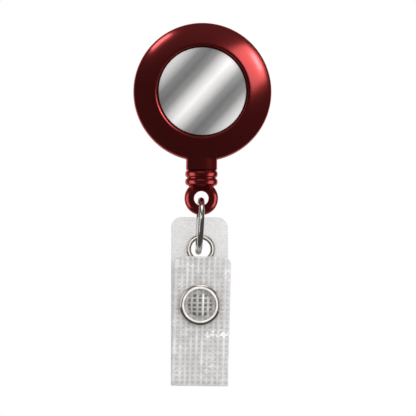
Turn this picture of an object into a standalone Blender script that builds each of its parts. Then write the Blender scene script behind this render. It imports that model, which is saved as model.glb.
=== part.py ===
"""Retractable badge reel: a round spring-loaded reel on a belt clip, its cord with a ribbed end
fitting, a jump ring, and a folded vinyl strap with a snap fastener.

Metres, +Z up. The reel's axis is Y, and the label faces -Y. The origin is on that axis, on the
flat back of the case, where the belt clip is riveted. The strap hangs along -Z.
"""

import math

import bmesh
import bpy
from mathutils import Vector

MM = 0.001

# Reel case: distances "forward" are measured from the flat back (y = 0) towards -Y.
CASE_RADIUS = 16.0 * MM
CASE_DEPTH = 9.0 * MM
CAVITY_RADIUS = 14.4 * MM
FLOOR = 1.2 * MM
PARTING = 4.0 * MM
CORD_FORWARD = 4.0 * MM
RECESS_RADIUS = 10.45 * MM
RECESS_FLOOR = 7.6 * MM
BEZEL_CREST = 0.5 * MM
BEZEL_CURVE = 11.0 * MM
BEZEL_TILTS = (20, 48)
COVER_CEILING = 6.6 * MM
CEILING_CHAMFER = (0.5 * MM, 0.6 * MM)
LABEL_RADIUS = 10.2 * MM
LABEL_THICKNESS = 0.35 * MM
LIP_OUTER = 15.0 * MM
LIP_HEIGHT = 0.8 * MM
BACK_EDGE_RADIUS = 1.2 * MM
POST_RADIUS = 3.0 * MM
POST_BORE = 2.1 * MM
POST_SLOT = 0.8 * MM
NECK_RADIUS = 3.6 * MM
NECK_HALF_DEPTH = 3.0 * MM
NECK_TOP = -13.5 * MM
NECK_BOTTOM = -17.95 * MM
NECK_BORE = 0.9 * MM
INLET_MOUTH = 3.0 * MM

# Clearances: between pieces that touch in the real object, and round a turning piece.
TOUCH = 0.2 * MM
CLEAR = 0.3 * MM

# Spool, power spring and cord.
SPOOL_BACK = 1.7 * MM
SPOOL_FRONT = 6.3 * MM
SPOOL_RADIUS = 13.8 * MM
SPOOL_DRUM = 10.2 * MM
SPOOL_INNER = 8.2 * MM
FLANGE = 0.7 * MM
WEB = 0.8 * MM
KNOT_SEAT_RADIUS = 9.2 * MM
KNOT_POCKET = 0.8 * MM
SPRING_INNER = 3.65 * MM
SPRING_OUTER = 7.7 * MM
SPRING_TURNS = 5
SPRING_STEPS = 16
SPRING_WIDTH = 2.8 * MM
SPRING_THICKNESS = 0.2 * MM
CORD_RADIUS = 0.325 * MM
PACK_INNER = 10.45 * MM
PACK_OUTER = 12.6 * MM
LEAD_TOP = -16.1 * MM
LEAD_BOTTOM = -19.75 * MM

# End fitting: heights along Z below the reel's axis.
FITTING_TOP = -18.2 * MM
RIB_RADIUS = 3.77 * MM
RIB_CENTRES = (-19.0 * MM, -20.8 * MM)
FITTING_NECK = 2.7 * MM
EYE_CENTRE = -24.65 * MM
EYE_RADIUS = 3.9 * MM
EYE_HOLE = 1.67 * MM
EYE_HALF_DEPTH = 1.5 * MM
FITTING_BORE = 0.6 * MM
KNOT_CHAMBER = 1.1 * MM

# Jump ring.
RING_HANGER = -24.925 * MM
RING_RADIUS = 6.075 * MM
RING_WIRE = 0.675 * MM
RING_YAW = math.radians(3)
RING_LEAN = math.radians(2.5)

# Vinyl strap: one strip, folded up at the bottom and snapped to itself.
STRAP_WIDTH = 13.2 * MM
STRAP_THICKNESS = 0.6 * MM
STRAP_TOP = -29.0 * MM
STRAP_BOTTOM = -68.1 * MM
FOLD_RADIUS = 1.3 * MM
FLAP_TOP = -38.05 * MM
FLAP_SKEW = 0.5 * MM
BACK_SKEW = -0.35 * MM
FLAP_FORWARD = CORD_FORWARD + 2 * FOLD_RADIUS
FOLD_GAP = 0.15 * MM
GROMMET_CENTRE = -36.4 * MM
GROMMET_HOLE = 2.25 * MM
GROMMET_RADIUS = 3.4 * MM
GROMMET_BARREL = 2.5 * MM
SNAP_CENTRE = -49.2 * MM
SNAP_RADIUS = 4.8 * MM
SNAP_OPENING = 3.65 * MM
DOME_RADIUS = 2.9 * MM
DOME_HEIGHT = 0.85 * MM
SOCKET_FLANGE = 4.2 * MM
SOCKET_SHEET = 0.25 * MM
SOCKET_MOUTH = 2.6 * MM
SOCKET_BORE = 1.95 * MM
SOCKET_DEPTH = 1.1 * MM
STUD_FLANGE = 4.1 * MM
STUD_SHEET = 0.2 * MM
STUD_HEAD = 1.65 * MM
STUD_NECK = 1.4 * MM
STUD_TIP = 1.2 * MM
STUD_HEIGHT = 1.3 * MM

# Belt clip: one strip of spring steel, bent over at the top.
CLIP_WIDTH = 10.0 * MM
CLIP_NARROW = 9.0 * MM
CLIP_THICKNESS = 0.7 * MM
CLIP_BOTTOM = -11.5 * MM
CLIP_SHOULDER = 4.0 * MM
CLIP_BEND_CENTRE = 11.4 * MM
CLIP_BEND_RADIUS = 1.5 * MM
CLIP_BASE_BACK = TOUCH + CLIP_THICKNESS / 2
TONGUE_TIP = -12.3 * MM
TONGUE_TAPER = 1.0 * MM
TONGUE_BENDS = (
    (0, -5.0 * MM),
    (-0.35 * MM, -6.8 * MM),
    (-1.0 * MM, -8.6 * MM),
    (-1.1 * MM, -9.5 * MM),
    (-0.8 * MM, -10.3 * MM),
    (0.9 * MM, -13.0 * MM),
)
RIVET_SHANK = 0.95 * MM
RIVET_HOLE = 1.25 * MM
RIVET_HEAD = 2.4 * MM
RIVET_HEAD_HEIGHT = 0.6 * MM

# A strip is made wider and longer than it ends up by the excess, and its outline cuts it to shape.
OUTLINE_EXCESS = 2.0 * MM
OUTLINE_DEPTH = 7.0 * MM

# Facets of the turned pieces, and the angle above which an edge stays sharp.
FINE = 40
MEDIUM = 28
SMALL = 24
COARSE = 16
SHARP_ANGLE = math.radians(35)

SHOWN = "badge_reel"
CUTTERS = "cutters"


def clear_scene():
    for obj in list(bpy.data.objects):
        bpy.data.objects.remove(obj, do_unlink=True)


def make_collections():
    for name in (SHOWN, CUTTERS):
        bpy.context.scene.collection.children.link(bpy.data.collections.new(name))


def add_material(name, colour, roughness, metallic=0.0, alpha=1.0):
    material = bpy.data.materials.new(name)
    material.use_nodes = True
    shader = material.node_tree.nodes["Principled BSDF"]
    shader.inputs["Base Color"].default_value = (*colour, 1.0)
    shader.inputs["Roughness"].default_value = roughness
    shader.inputs["Metallic"].default_value = metallic
    shader.inputs["Alpha"].default_value = alpha
    return material


def make_materials():
    return {
        "red_plastic": add_material("red_plastic", (0.10, 0.004, 0.005), 0.15),
        "silver_foil": add_material("silver_foil", (0.75, 0.75, 0.76), 0.25, 0.9),
        "white_plastic": add_material("white_plastic", (0.75, 0.74, 0.70), 0.45),
        "spring_steel": add_material("spring_steel", (0.42, 0.43, 0.45), 0.3, 1.0),
        "nickel": add_material("nickel", (0.62, 0.60, 0.57), 0.15, 1.0),
        "cord": add_material("cord", (0.02, 0.02, 0.022), 0.7),
        "clear_vinyl": add_material("clear_vinyl", (0.75, 0.76, 0.77), 0.3, alpha=0.6),
    }


def link(obj, collection=SHOWN):
    bpy.data.collections[collection].objects.link(obj)
    return obj


def arc(centre, radii, start, end, steps):
    """Points of an elliptical arc between two angles in degrees, both ends included.

    They are rounded to a nanometre, so that a point on an axis lies exactly on it.
    """
    points = []
    for i in range(steps + 1):
        angle = math.radians(start + (end - start) * i / steps)
        across = centre[0] + radii[0] * math.cos(angle)
        along = centre[1] + radii[1] * math.sin(angle)
        points.append((round(across, 9), round(along, 9)))
    return points


def fillet(corners, steps=5):
    """Outline through the corners (x, z, radius), each rounded to its own radius."""
    outline = []
    for i, (x, z, radius) in enumerate(corners):
        corner = Vector((x, z))
        if radius == 0:
            outline.append(corner)
            continue
        before = (Vector(corners[i - 1][:2]) - corner).normalized()
        after = (Vector(corners[(i + 1) % len(corners)][:2]) - corner).normalized()
        half = before.angle(after) / 2
        centre = corner + (before + after).normalized() * radius / math.sin(half)
        reach = radius / math.tan(half)
        first = corner + before * reach - centre
        last = corner + after * reach - centre
        start = math.atan2(first.y, first.x)
        sweep = (math.atan2(last.y, last.x) - start + math.pi) % math.tau - math.pi
        for step in range(steps + 1):
            angle = start + sweep * step / steps
            outline.append(centre + radius * Vector((math.cos(angle), math.sin(angle))))
    return outline


def turned(name, profile, segments, x=0.0, z=0.0, upright=False, collection=SHOWN):
    """A profile of (radius, height) turned about an axis along -Y, or about Z if upright.

    The profile runs down the piece's outer side. It starts and ends on the axis, or it is closed.
    """
    mesh = bpy.data.meshes.new(name)
    shape = bmesh.new()
    points = [shape.verts.new((radius, 0, height)) for radius, height in profile]
    for a, b in zip(points, points[1:]):
        shape.edges.new((a, b))
    if profile[0][0] > 0:
        shape.edges.new((points[-1], points[0]))
    shape.to_mesh(mesh)
    shape.free()
    obj = link(bpy.data.objects.new(name, mesh), collection)
    if upright:
        obj.location = (x, -CORD_FORWARD, 0)
    else:
        obj.location = (x, 0, z)
        obj.rotation_euler = (math.radians(90), 0, 0)
    screw = obj.modifiers.new("turn", "SCREW")
    screw.steps = segments
    screw.render_steps = segments
    screw.use_merge_vertices = True
    screw.merge_threshold = 0.001 * MM
    return obj


def ribbon(name, path, across, thickness):
    """A strip of even thickness along a path of points; across is its full width as a vector."""
    mesh = bpy.data.meshes.new(name)
    shape = bmesh.new()
    half = Vector(across) / 2
    rows = [(shape.verts.new(Vector(p) - half), shape.verts.new(Vector(p) + half)) for p in path]
    for (a, b), (c, d) in zip(rows, rows[1:]):
        shape.faces.new((a, b, d, c))
    shape.to_mesh(mesh)
    shape.free()
    obj = link(bpy.data.objects.new(name, mesh))
    solidify = obj.modifiers.new("thickness", "SOLIDIFY")
    solidify.thickness = thickness
    solidify.offset = 0
    solidify.use_even_offset = True
    return obj


def as_mesh(curve):
    """The mesh of a curve object, with its caps welded on. The curve is removed."""
    bpy.context.view_layer.update()
    graph = bpy.context.evaluated_depsgraph_get()
    mesh = bpy.data.meshes.new_from_object(curve.evaluated_get(graph))
    shape = bmesh.new()
    shape.from_mesh(mesh)
    bmesh.ops.remove_doubles(shape, verts=shape.verts, dist=0.001 * MM)
    shape.to_mesh(mesh)
    shape.free()
    name = curve.name
    collections = [collection.name for collection in curve.users_collection]
    matrix = curve.matrix_world.copy()
    bpy.data.objects.remove(curve, do_unlink=True)
    obj = link(bpy.data.objects.new(name, mesh), collections[0])
    obj.matrix_world = matrix
    return obj


def prism(name, outline, forward):
    """A cutter: a flat outline of (x, z) given a depth along Y, centred on a distance forward."""
    curve = bpy.data.curves.new(name, "CURVE")
    curve.dimensions = "2D"
    curve.fill_mode = "BOTH"
    curve.extrude = OUTLINE_DEPTH / 2
    spline = curve.splines.new("POLY")
    spline.points.add(len(outline) - 1)
    for point, (x, z) in zip(spline.points, outline):
        point.co = (x, z, 0, 1)
    spline.use_cyclic_u = True
    obj = link(bpy.data.objects.new(name, curve), CUTTERS)
    obj.location = (0, -forward, 0)
    obj.rotation_euler = (math.radians(90), 0, 0)
    return as_mesh(obj)


def tube(name, points, radius):
    """A round cord or wire along points."""
    curve = bpy.data.curves.new(name, "CURVE")
    curve.dimensions = "3D"
    curve.bevel_depth = radius
    curve.bevel_resolution = 2
    curve.use_fill_caps = True
    spline = curve.splines.new("POLY")
    spline.points.add(len(points) - 1)
    for target, point in zip(spline.points, points):
        target.co = (*point, 1)
    return as_mesh(link(bpy.data.objects.new(name, curve)))


def cylinder(name, radius, depth, location, segments=MEDIUM):
    """A round cutter along Y."""
    mesh = bpy.data.meshes.new(name)
    shape = bmesh.new()
    bmesh.ops.create_cone(
        shape, cap_ends=True, segments=segments, radius1=radius, radius2=radius, depth=depth
    )
    shape.to_mesh(mesh)
    shape.free()
    obj = link(bpy.data.objects.new(name, mesh), CUTTERS)
    obj.location = location
    obj.rotation_euler = (math.radians(90), 0, 0)
    return obj


def box(name, size, location):
    """A square cutter."""
    mesh = bpy.data.meshes.new(name)
    shape = bmesh.new()
    bmesh.ops.create_cube(shape, size=1)
    bmesh.ops.scale(shape, vec=Vector(size), verts=shape.verts)
    shape.to_mesh(mesh)
    shape.free()
    obj = link(bpy.data.objects.new(name, mesh), CUTTERS)
    obj.location = location
    return obj


def combine(obj, other, operation):
    """A Boolean with another object, which becomes a hidden cutter."""
    boolean = obj.modifiers.new(operation.lower(), "BOOLEAN")
    boolean.operation = operation
    boolean.object = other
    boolean.solver = "EXACT"
    other.hide_render = True
    other.display_type = "WIRE"


def finish(obj, material):
    """Applies the modifiers, and shades the piece smooth up to its sharp edges."""
    bpy.context.view_layer.update()
    graph = bpy.context.evaluated_depsgraph_get()
    mesh = bpy.data.meshes.new_from_object(obj.evaluated_get(graph))
    obj.modifiers.clear()
    obj.data = mesh
    obj.data.name = obj.name
    mesh.materials.clear()
    mesh.materials.append(material)
    mesh.shade_smooth()
    mesh.set_sharp_from_angle(angle=SHARP_ANGLE)
    return obj


def bezel():
    """Profile from the recess over the lip's crest, down the convex face and round to the side.

    The tilts are the face's angles from square to the axis, at its inner and outer edges.
    """
    first, last = BEZEL_TILTS
    curve = (BEZEL_CURVE, BEZEL_CURVE)
    lip = (RECESS_RADIUS + BEZEL_CREST, CASE_DEPTH - BEZEL_CREST)
    points = arc(lip, (BEZEL_CREST, BEZEL_CREST), 180, 90 - first, 4)
    tilt = math.radians(first)
    across = points[-1][0] - BEZEL_CURVE * math.sin(tilt)
    along = points[-1][1] - BEZEL_CURVE * math.cos(tilt)
    points += arc((across, along), curve, 90 - first, 90 - last, 6)[1:]
    tilt = math.radians(last)
    edge = (CASE_RADIUS - points[-1][0]) / (1 - math.sin(tilt))
    along = points[-1][1] - edge * math.cos(tilt)
    return points + arc((CASE_RADIUS - edge, along), (edge, edge), 90 - last, 0, 3)[1:]


def cavity_cutter(name):
    """The case's cavity and the lip's rebate, grown to keep the neck's end inside the wall."""
    grown = CAVITY_RADIUS + TOUCH
    ceiling = COVER_CEILING + TOUCH
    rebate = (LIP_OUTER + CLEAR + TOUCH / 2, PARTING + LIP_HEIGHT + CLEAR + TOUCH / 2)
    return turned(
        name,
        [
            (0, ceiling),
            (grown - CEILING_CHAMFER[0], ceiling),
            (grown, ceiling - CEILING_CHAMFER[1]),
            (grown, rebate[1]),
            rebate,
            (rebate[0], FLOOR - TOUCH),
            (0, FLOOR - TOUCH),
        ],
        FINE,
        collection=CUTTERS,
    )


def neck_half(name, front):
    """One half of the oval neck, cut at the case's parting plane."""
    neck = turned(
        name,
        [
            (0, NECK_TOP),
            (NECK_RADIUS, NECK_TOP),
            (NECK_RADIUS, NECK_BOTTOM + TOUCH),
            (NECK_RADIUS - CLEAR, NECK_BOTTOM),
            (0, NECK_BOTTOM),
        ],
        MEDIUM,
        upright=True,
        collection=CUTTERS,
    )
    neck.scale.y = NECK_HALF_DEPTH / NECK_RADIUS
    reach = 2 * NECK_RADIUS
    side = PARTING - reach / 2 + TOUCH / 2 if front else PARTING + reach / 2 - TOUCH / 2
    half = box(name + "_side", (2 * reach, reach, 2 * reach), (0, -side, NECK_TOP))
    combine(neck, half, "DIFFERENCE")
    combine(neck, cavity_cutter(name + "_cavity"), "DIFFERENCE")
    return neck


def cord_passage(name):
    """The way of the cord through the neck, with a flared mouth towards the spool."""
    return turned(
        name,
        [
            (0, -CAVITY_RADIUS + CLEAR),
            (INLET_MOUTH, -CAVITY_RADIUS + CLEAR),
            (NECK_BORE, LEAD_TOP),
            (NECK_BORE, NECK_BOTTOM - CLEAR),
            (0, NECK_BOTTOM - CLEAR),
        ],
        COARSE,
        upright=True,
        collection=CUTTERS,
    )


def front_cover(material):
    parting = PARTING + TOUCH / 2
    rebate = (LIP_OUTER + CLEAR, PARTING + LIP_HEIGHT + CLEAR)
    profile = [(0, RECESS_FLOOR), (RECESS_RADIUS, RECESS_FLOOR)]
    profile += bezel()
    profile += [
        (CASE_RADIUS, parting),
        (rebate[0], parting),
        rebate,
        (CAVITY_RADIUS, rebate[1]),
        (CAVITY_RADIUS, COVER_CEILING - CEILING_CHAMFER[1]),
        (CAVITY_RADIUS - CEILING_CHAMFER[0], COVER_CEILING),
        (0, COVER_CEILING),
    ]
    cover = turned("front_cover", profile, FINE)
    combine(cover, neck_half("front_neck", True), "UNION")
    combine(cover, cord_passage("front_passage"), "DIFFERENCE")
    return finish(cover, material)


def rear_case(material):
    parting = PARTING - TOUCH / 2
    lip_top = PARTING + LIP_HEIGHT
    profile = [
        (POST_BORE, SPOOL_FRONT),
        (POST_RADIUS, SPOOL_FRONT),
        (POST_RADIUS, FLOOR),
        (CAVITY_RADIUS, FLOOR),
        (CAVITY_RADIUS, lip_top),
        (LIP_OUTER, lip_top),
        (LIP_OUTER, parting),
        (CASE_RADIUS, parting),
    ]
    corner = (CASE_RADIUS - BACK_EDGE_RADIUS, BACK_EDGE_RADIUS)
    profile += arc(corner, (BACK_EDGE_RADIUS, BACK_EDGE_RADIUS), 0, -90, 4)
    profile += [(RIVET_HOLE, 0), (RIVET_HOLE, FLOOR), (POST_BORE, FLOOR)]
    case = turned("rear_case", profile, FINE)
    combine(case, neck_half("rear_neck", False), "UNION")
    combine(case, cord_passage("rear_passage"), "DIFFERENCE")
    slot_height = SPOOL_FRONT - FLOOR
    slot_middle = FLOOR + 0.6 * MM + slot_height / 2
    slot = box("post_slot", (POST_SLOT, slot_height, 4 * POST_RADIUS), (0, -slot_middle, 0))
    combine(case, slot, "DIFFERENCE")
    return finish(case, material)


def label_disc(material):
    back = RECESS_FLOOR + TOUCH
    front = back + LABEL_THICKNESS
    return finish(
        turned(
            "label_disc",
            [(0, front), (LABEL_RADIUS, front), (LABEL_RADIUS, back), (0, back)],
            FINE,
        ),
        material,
    )


def spool(material):
    bore = POST_RADIUS + CLEAR
    profile = [
        (bore, SPOOL_FRONT),
        (SPOOL_RADIUS, SPOOL_FRONT),
        (SPOOL_RADIUS, SPOOL_FRONT - FLANGE),
        (SPOOL_DRUM, SPOOL_FRONT - FLANGE),
        (SPOOL_DRUM, SPOOL_BACK + FLANGE),
        (SPOOL_RADIUS, SPOOL_BACK + FLANGE),
        (SPOOL_RADIUS, SPOOL_BACK),
        (SPOOL_INNER, SPOOL_BACK),
        (SPOOL_INNER, SPOOL_FRONT - WEB),
        (bore, SPOOL_FRONT - WEB),
    ]
    part = turned("spool", profile, FINE)
    depth = 2.2 * MM
    middle = SPOOL_FRONT + CLEAR - depth / 2
    pocket = cylinder(
        "knot_pocket", KNOT_POCKET, depth, (0, -middle, KNOT_SEAT_RADIUS), segments=COARSE
    )
    combine(part, pocket, "DIFFERENCE")
    slit_length = SPOOL_DRUM - KNOT_SEAT_RADIUS + CLEAR
    slit = box(
        "cord_slit",
        (3 * CORD_RADIUS, depth, slit_length),
        (0, -middle, KNOT_SEAT_RADIUS + slit_length / 2),
    )
    combine(part, slit, "DIFFERENCE")
    notch_depth = 2 * CLEAR
    notch = box(
        "spring_notch",
        (3 * CLEAR, SPRING_WIDTH + 2 * CLEAR, 2 * notch_depth),
        (0, -spring_middle(), -SPOOL_INNER),
    )
    combine(part, notch, "DIFFERENCE")
    return finish(part, material)


def spring_middle():
    """The distance forward of the middle of the power spring's width."""
    return (SPOOL_BACK + SPOOL_FRONT - WEB) / 2


def power_spring(material):
    """A flat spiral from the slotted post, where its inner end is hooked, to the spool."""
    count = SPRING_TURNS * SPRING_STEPS + SPRING_STEPS // 2
    path = [(0, POST_BORE + CLEAR)]
    for i in range(count + 1):
        turn = math.tau * i / SPRING_STEPS
        radius = SPRING_INNER + (SPRING_OUTER - SPRING_INNER) * i / count
        path.append((radius * math.sin(turn), radius * math.cos(turn)))
    path.append((0, -SPOOL_INNER - CLEAR))
    forward = spring_middle()
    points = [(x, -forward, z) for x, z in path]
    strip = ribbon("power_spring", points, (0, SPRING_WIDTH, 0), SPRING_THICKNESS)
    strip.modifiers["thickness"].use_even_offset = False
    return finish(strip, material)


def cord_wound(material):
    """The outer shape of the turns of cord on the spool."""
    front = SPOOL_FRONT - FLANGE - CLEAR
    back = SPOOL_BACK + FLANGE + CLEAR
    soft = CORD_RADIUS
    corners = arc((PACK_OUTER - soft, front - soft), (soft, soft), 90, 0, 2)
    corners += arc((PACK_OUTER - soft, back + soft), (soft, soft), 0, -90, 2)
    profile = [(PACK_INNER, front)] + corners + [(PACK_INNER, back)]
    return finish(turned("cord_wound", profile, FINE), material)


def cord_inlet(material):
    """The cord's run from its last turn, straight to the neck and round into the bore."""
    leave = PACK_OUTER + CLEAR + CORD_RADIUS
    corner = Vector((0, -CAVITY_RADIUS - 0.9 * MM))
    angle = math.acos(leave / corner.length)
    start = leave * Vector((math.sin(angle), -math.cos(angle)))
    bottom = Vector((0, LEAD_TOP + CLEAR))
    bend = fillet([(*start, 0), (*corner, 0.8 * MM), (*bottom, 0)])
    points = [(x, -CORD_FORWARD, z) for x, z in bend]
    return finish(tube("cord_inlet", points, CORD_RADIUS), material)


def cord_lead(material):
    points = [(0, -CORD_FORWARD, z) for z in (LEAD_TOP, LEAD_BOTTOM)]
    return finish(tube("cord_lead", points, CORD_RADIUS), material)


def knot(name, radius, height, forward, z, material):
    """A tied lump of cord, turned about a line through it."""
    obj = turned(name, arc((0, 0), (radius, height / 2), 90, -90, 6), 10, upright=True)
    obj.location = (0, -forward, z)
    return finish(obj, material)


def end_fitting(material):
    """Ribbed barrel with an eye below it, hollow for the cord and its knot."""
    stub = 3.3 * MM
    groove = 3.35 * MM
    rib = 0.45 * MM
    first, second = RIB_CENTRES
    waist = -21.8 * MM
    profile = [(0, FITTING_TOP), (stub, FITTING_TOP)]
    profile += arc((RIB_RADIUS - rib, first), (rib, rib), 60, -60, 4)
    profile += [(groove, (first + second) / 2)]
    profile += arc((RIB_RADIUS - rib, second), (rib, rib), 60, -60, 4)
    profile += [(FITTING_NECK, waist), (FITTING_NECK, waist - 0.9 * MM), (0, waist - 0.9 * MM)]
    fitting = turned("end_fitting", profile, MEDIUM, upright=True)
    edge = 0.5 * MM
    eye_profile = [(0, EYE_HALF_DEPTH)]
    corner = (EYE_RADIUS - edge, EYE_HALF_DEPTH - edge)
    eye_profile += arc(corner, (edge, edge), 90, 0, 3)
    eye_profile += arc((corner[0], -corner[1]), (edge, edge), 0, -90, 3)
    eye_profile += [(0, -EYE_HALF_DEPTH)]
    eye = turned("eye_disc", eye_profile, MEDIUM, z=EYE_CENTRE, collection=CUTTERS)
    eye.location.y = -CORD_FORWARD
    combine(fitting, eye, "UNION")
    chamber_top = LEAD_BOTTOM + 0.1 * MM
    passage = turned(
        "fitting_passage",
        [
            (0, FITTING_TOP + CLEAR),
            (FITTING_BORE, FITTING_TOP + CLEAR),
            (FITTING_BORE, chamber_top + CLEAR),
            (KNOT_CHAMBER, chamber_top),
            (KNOT_CHAMBER, EYE_CENTRE + EYE_HOLE / 2),
            (0, EYE_CENTRE + EYE_HOLE / 2),
        ],
        COARSE,
        upright=True,
        collection=CUTTERS,
    )
    combine(fitting, passage, "DIFFERENCE")
    hole = cylinder("eye_hole", EYE_HOLE, 4 * EYE_HALF_DEPTH, (0, -CORD_FORWARD, EYE_CENTRE))
    combine(fitting, hole, "DIFFERENCE")
    return finish(fitting, material)


def ring_middle():
    """The ring's middle: it hangs from the eye, turned and leaning a little to the left."""
    drop = RING_RADIUS * math.sin(RING_LEAN)
    across = Vector((-drop * math.cos(RING_YAW), -drop * math.sin(RING_YAW), 0))
    fall = Vector((0, 0, -RING_RADIUS * math.cos(RING_LEAN)))
    return Vector((0, -CORD_FORWARD, RING_HANGER)) + across + fall


def jump_ring(material):
    bpy.ops.mesh.primitive_torus_add(
        major_radius=RING_RADIUS,
        minor_radius=RING_WIRE,
        major_segments=36,
        minor_segments=8,
    )
    made = bpy.context.object
    mesh = made.data
    bpy.data.objects.remove(made, do_unlink=True)
    ring = link(bpy.data.objects.new("jump_ring", mesh))
    ring.location = ring_middle()
    ring.rotation_euler = (0, math.radians(90) + RING_LEAN, RING_YAW)
    return finish(ring, material)


def strap_path(top, side, forward):
    """The middle of one layer: straight down, then a quarter of the fold. side is 1 at the back."""
    middle = CORD_FORWARD + FOLD_RADIUS
    centre_z = STRAP_BOTTOM + FOLD_RADIUS + STRAP_THICKNESS / 2
    end = math.degrees(math.acos(FOLD_GAP / FOLD_RADIUS))
    path = [(0, -forward, top)]
    for y, z in arc((0, centre_z), (side * FOLD_RADIUS, -FOLD_RADIUS), 0, end, 5):
        path.append((0, y - middle, z))
    return path


def strap_back(material):
    """The back layer, which leans a little to the left."""
    over = OUTLINE_EXCESS
    path = strap_path(STRAP_TOP + over, 1, CORD_FORWARD)
    layer = ribbon("strap_back", path, (STRAP_WIDTH + over, 0, 0), STRAP_THICKNESS)
    half = STRAP_WIDTH / 2
    corners = [
        (-half, STRAP_BOTTOM - over, 0),
        (half, STRAP_BOTTOM - over, 0),
        (half + BACK_SKEW, STRAP_TOP, 2.5 * MM),
        (-half + BACK_SKEW, STRAP_TOP, 2.5 * MM),
    ]
    combine(layer, prism("back_outline", fillet(corners), CORD_FORWARD), "INTERSECT")
    middle = (0, -CORD_FORWARD, GROMMET_CENTRE)
    hole = cylinder("grommet_hole", GROMMET_BARREL + TOUCH, 4 * MM, middle, segments=SMALL)
    combine(layer, hole, "DIFFERENCE")
    return finish(layer, material)


def strap_flap(material):
    """The front layer, which leans a little to the right and bulges through the snap's ring."""
    over = OUTLINE_EXCESS
    path = strap_path(FLAP_TOP + over, -1, FLAP_FORWARD)
    layer = ribbon("strap_flap", path, (STRAP_WIDTH + over, 0, 0), STRAP_THICKNESS)
    half = STRAP_WIDTH / 2
    corners = [
        (-half, STRAP_BOTTOM - over, 0),
        (half, STRAP_BOTTOM - over, 0),
        (half + FLAP_SKEW, FLAP_TOP, 2.0 * MM),
        (-half + FLAP_SKEW, FLAP_TOP, 2.0 * MM),
    ]
    combine(layer, prism("flap_outline", fillet(corners), FLAP_FORWARD), "INTERSECT")
    face = FLAP_FORWARD + STRAP_THICKNESS / 2
    root = FLAP_FORWARD - STRAP_THICKNESS / 4
    dome = turned(
        "flap_dome",
        arc((0, face), (DOME_RADIUS, DOME_HEIGHT), 90, 0, 4) + [(DOME_RADIUS, root), (0, root)],
        SMALL,
        z=SNAP_CENTRE,
        collection=CUTTERS,
    )
    combine(layer, dome, "UNION")
    crown = socket_crown()
    hollow = cylinder(
        "dome_hollow",
        crown[0] + TOUCH,
        2 * (crown[1] + TOUCH - root) + STRAP_THICKNESS,
        (0, -root + STRAP_THICKNESS / 2, SNAP_CENTRE),
        segments=SMALL,
    )
    combine(layer, hollow, "DIFFERENCE")
    return finish(layer, material)


def grommet_eyelet(material):
    """Eyelet with a rounded flange in front, its barrel rolled out behind the washer."""
    face = STRAP_THICKNESS / 2 + TOUCH
    crest = 0.5 * MM
    flange_middle = (GROMMET_HOLE + GROMMET_RADIUS) / 2
    half_width = (GROMMET_RADIUS - GROMMET_HOLE) / 2
    roll = face + 2 * TOUCH + 0.1 * MM
    profile = arc((flange_middle, face), (half_width, crest), 180, 0, 6)
    profile += [
        (GROMMET_BARREL, face),
        (GROMMET_BARREL, -roll),
        (GROMMET_RADIUS - 2 * TOUCH, -roll),
        (GROMMET_RADIUS - 3 * TOUCH, -roll - TOUCH),
        (GROMMET_HOLE, -roll - TOUCH),
    ]
    obj = turned("grommet_eyelet", profile, SMALL, z=GROMMET_CENTRE)
    obj.location.y = -CORD_FORWARD
    return finish(obj, material)


def grommet_washer(material):
    face = STRAP_THICKNESS / 2 + 0.5 * TOUCH
    back = face + 1.5 * TOUCH
    inner = GROMMET_BARREL + 1.5 * TOUCH
    obj = turned(
        "grommet_washer",
        [(inner, -face), (GROMMET_RADIUS, -face), (GROMMET_RADIUS, -back), (inner, -back)],
        SMALL,
        z=GROMMET_CENTRE,
    )
    obj.location.y = -CORD_FORWARD
    return finish(obj, material)


def snap_ring_profile(height):
    """Section of a pronged ring that lies on the strap, from its face outwards."""
    crest = 4.3 * MM
    lift = 0.5 * MM
    inside = arc((crest, lift), (crest - SNAP_OPENING, height - lift), 180, 90, 3)
    outside = arc((crest, lift), (SNAP_RADIUS - crest, height - lift), 90, 0, 3)[1:]
    return [(SNAP_OPENING, 0)] + inside + outside + [(SNAP_RADIUS, 0)]


def snap_cap_ring(material):
    face = FLAP_FORWARD + STRAP_THICKNESS / 2 + TOUCH
    profile = [(r, face + h) for r, h in snap_ring_profile(1.1 * MM)]
    return finish(turned("snap_cap_ring", profile, MEDIUM, z=SNAP_CENTRE), material)


def snap_back_ring(material):
    face = CORD_FORWARD - STRAP_THICKNESS / 2 - TOUCH
    profile = [(r, face - h) for r, h in reversed(snap_ring_profile(0.9 * MM))]
    return finish(turned("snap_back_ring", profile, MEDIUM, z=SNAP_CENTRE), material)


def socket_crown():
    """Radius and distance forward of the closed end of the socket."""
    return 2.4 * MM, FLAP_FORWARD + STRAP_THICKNESS / 2 + 0.1 * MM


def snap_socket(material):
    crown_radius, crown = socket_crown()
    flange = FLAP_FORWARD - STRAP_THICKNESS / 2 - TOUCH
    mouth = flange - SOCKET_DEPTH
    ceiling = crown - 2 * CLEAR
    profile = [
        (0, crown),
        (crown_radius - 0.5 * MM, crown),
        (crown_radius, crown - 0.4 * MM),
        (crown_radius, flange),
        (SOCKET_FLANGE, flange),
        (SOCKET_FLANGE, flange - SOCKET_SHEET),
        (SOCKET_MOUTH, flange - SOCKET_SHEET),
        (SOCKET_MOUTH, mouth),
        (SOCKET_BORE, mouth),
        (SOCKET_BORE, ceiling),
        (0, ceiling),
    ]
    return finish(turned("snap_socket", profile, SMALL, z=SNAP_CENTRE), material)


def snap_stud(material):
    flange = CORD_FORWARD + STRAP_THICKNESS / 2 + TOUCH
    face = flange + STUD_SHEET
    tip = face + STUD_HEIGHT
    bulge = STUD_HEAD - STUD_TIP
    profile = [
        (0, tip),
        (STUD_TIP, tip),
        (STUD_HEAD, tip - bulge),
        (STUD_NECK, tip - 2 * bulge),
        (STUD_NECK, face),
        (STUD_FLANGE, face),
        (STUD_FLANGE, flange),
        (0, flange),
    ]
    return finish(turned("snap_stud", profile, SMALL, z=SNAP_CENTRE), material)


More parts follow.
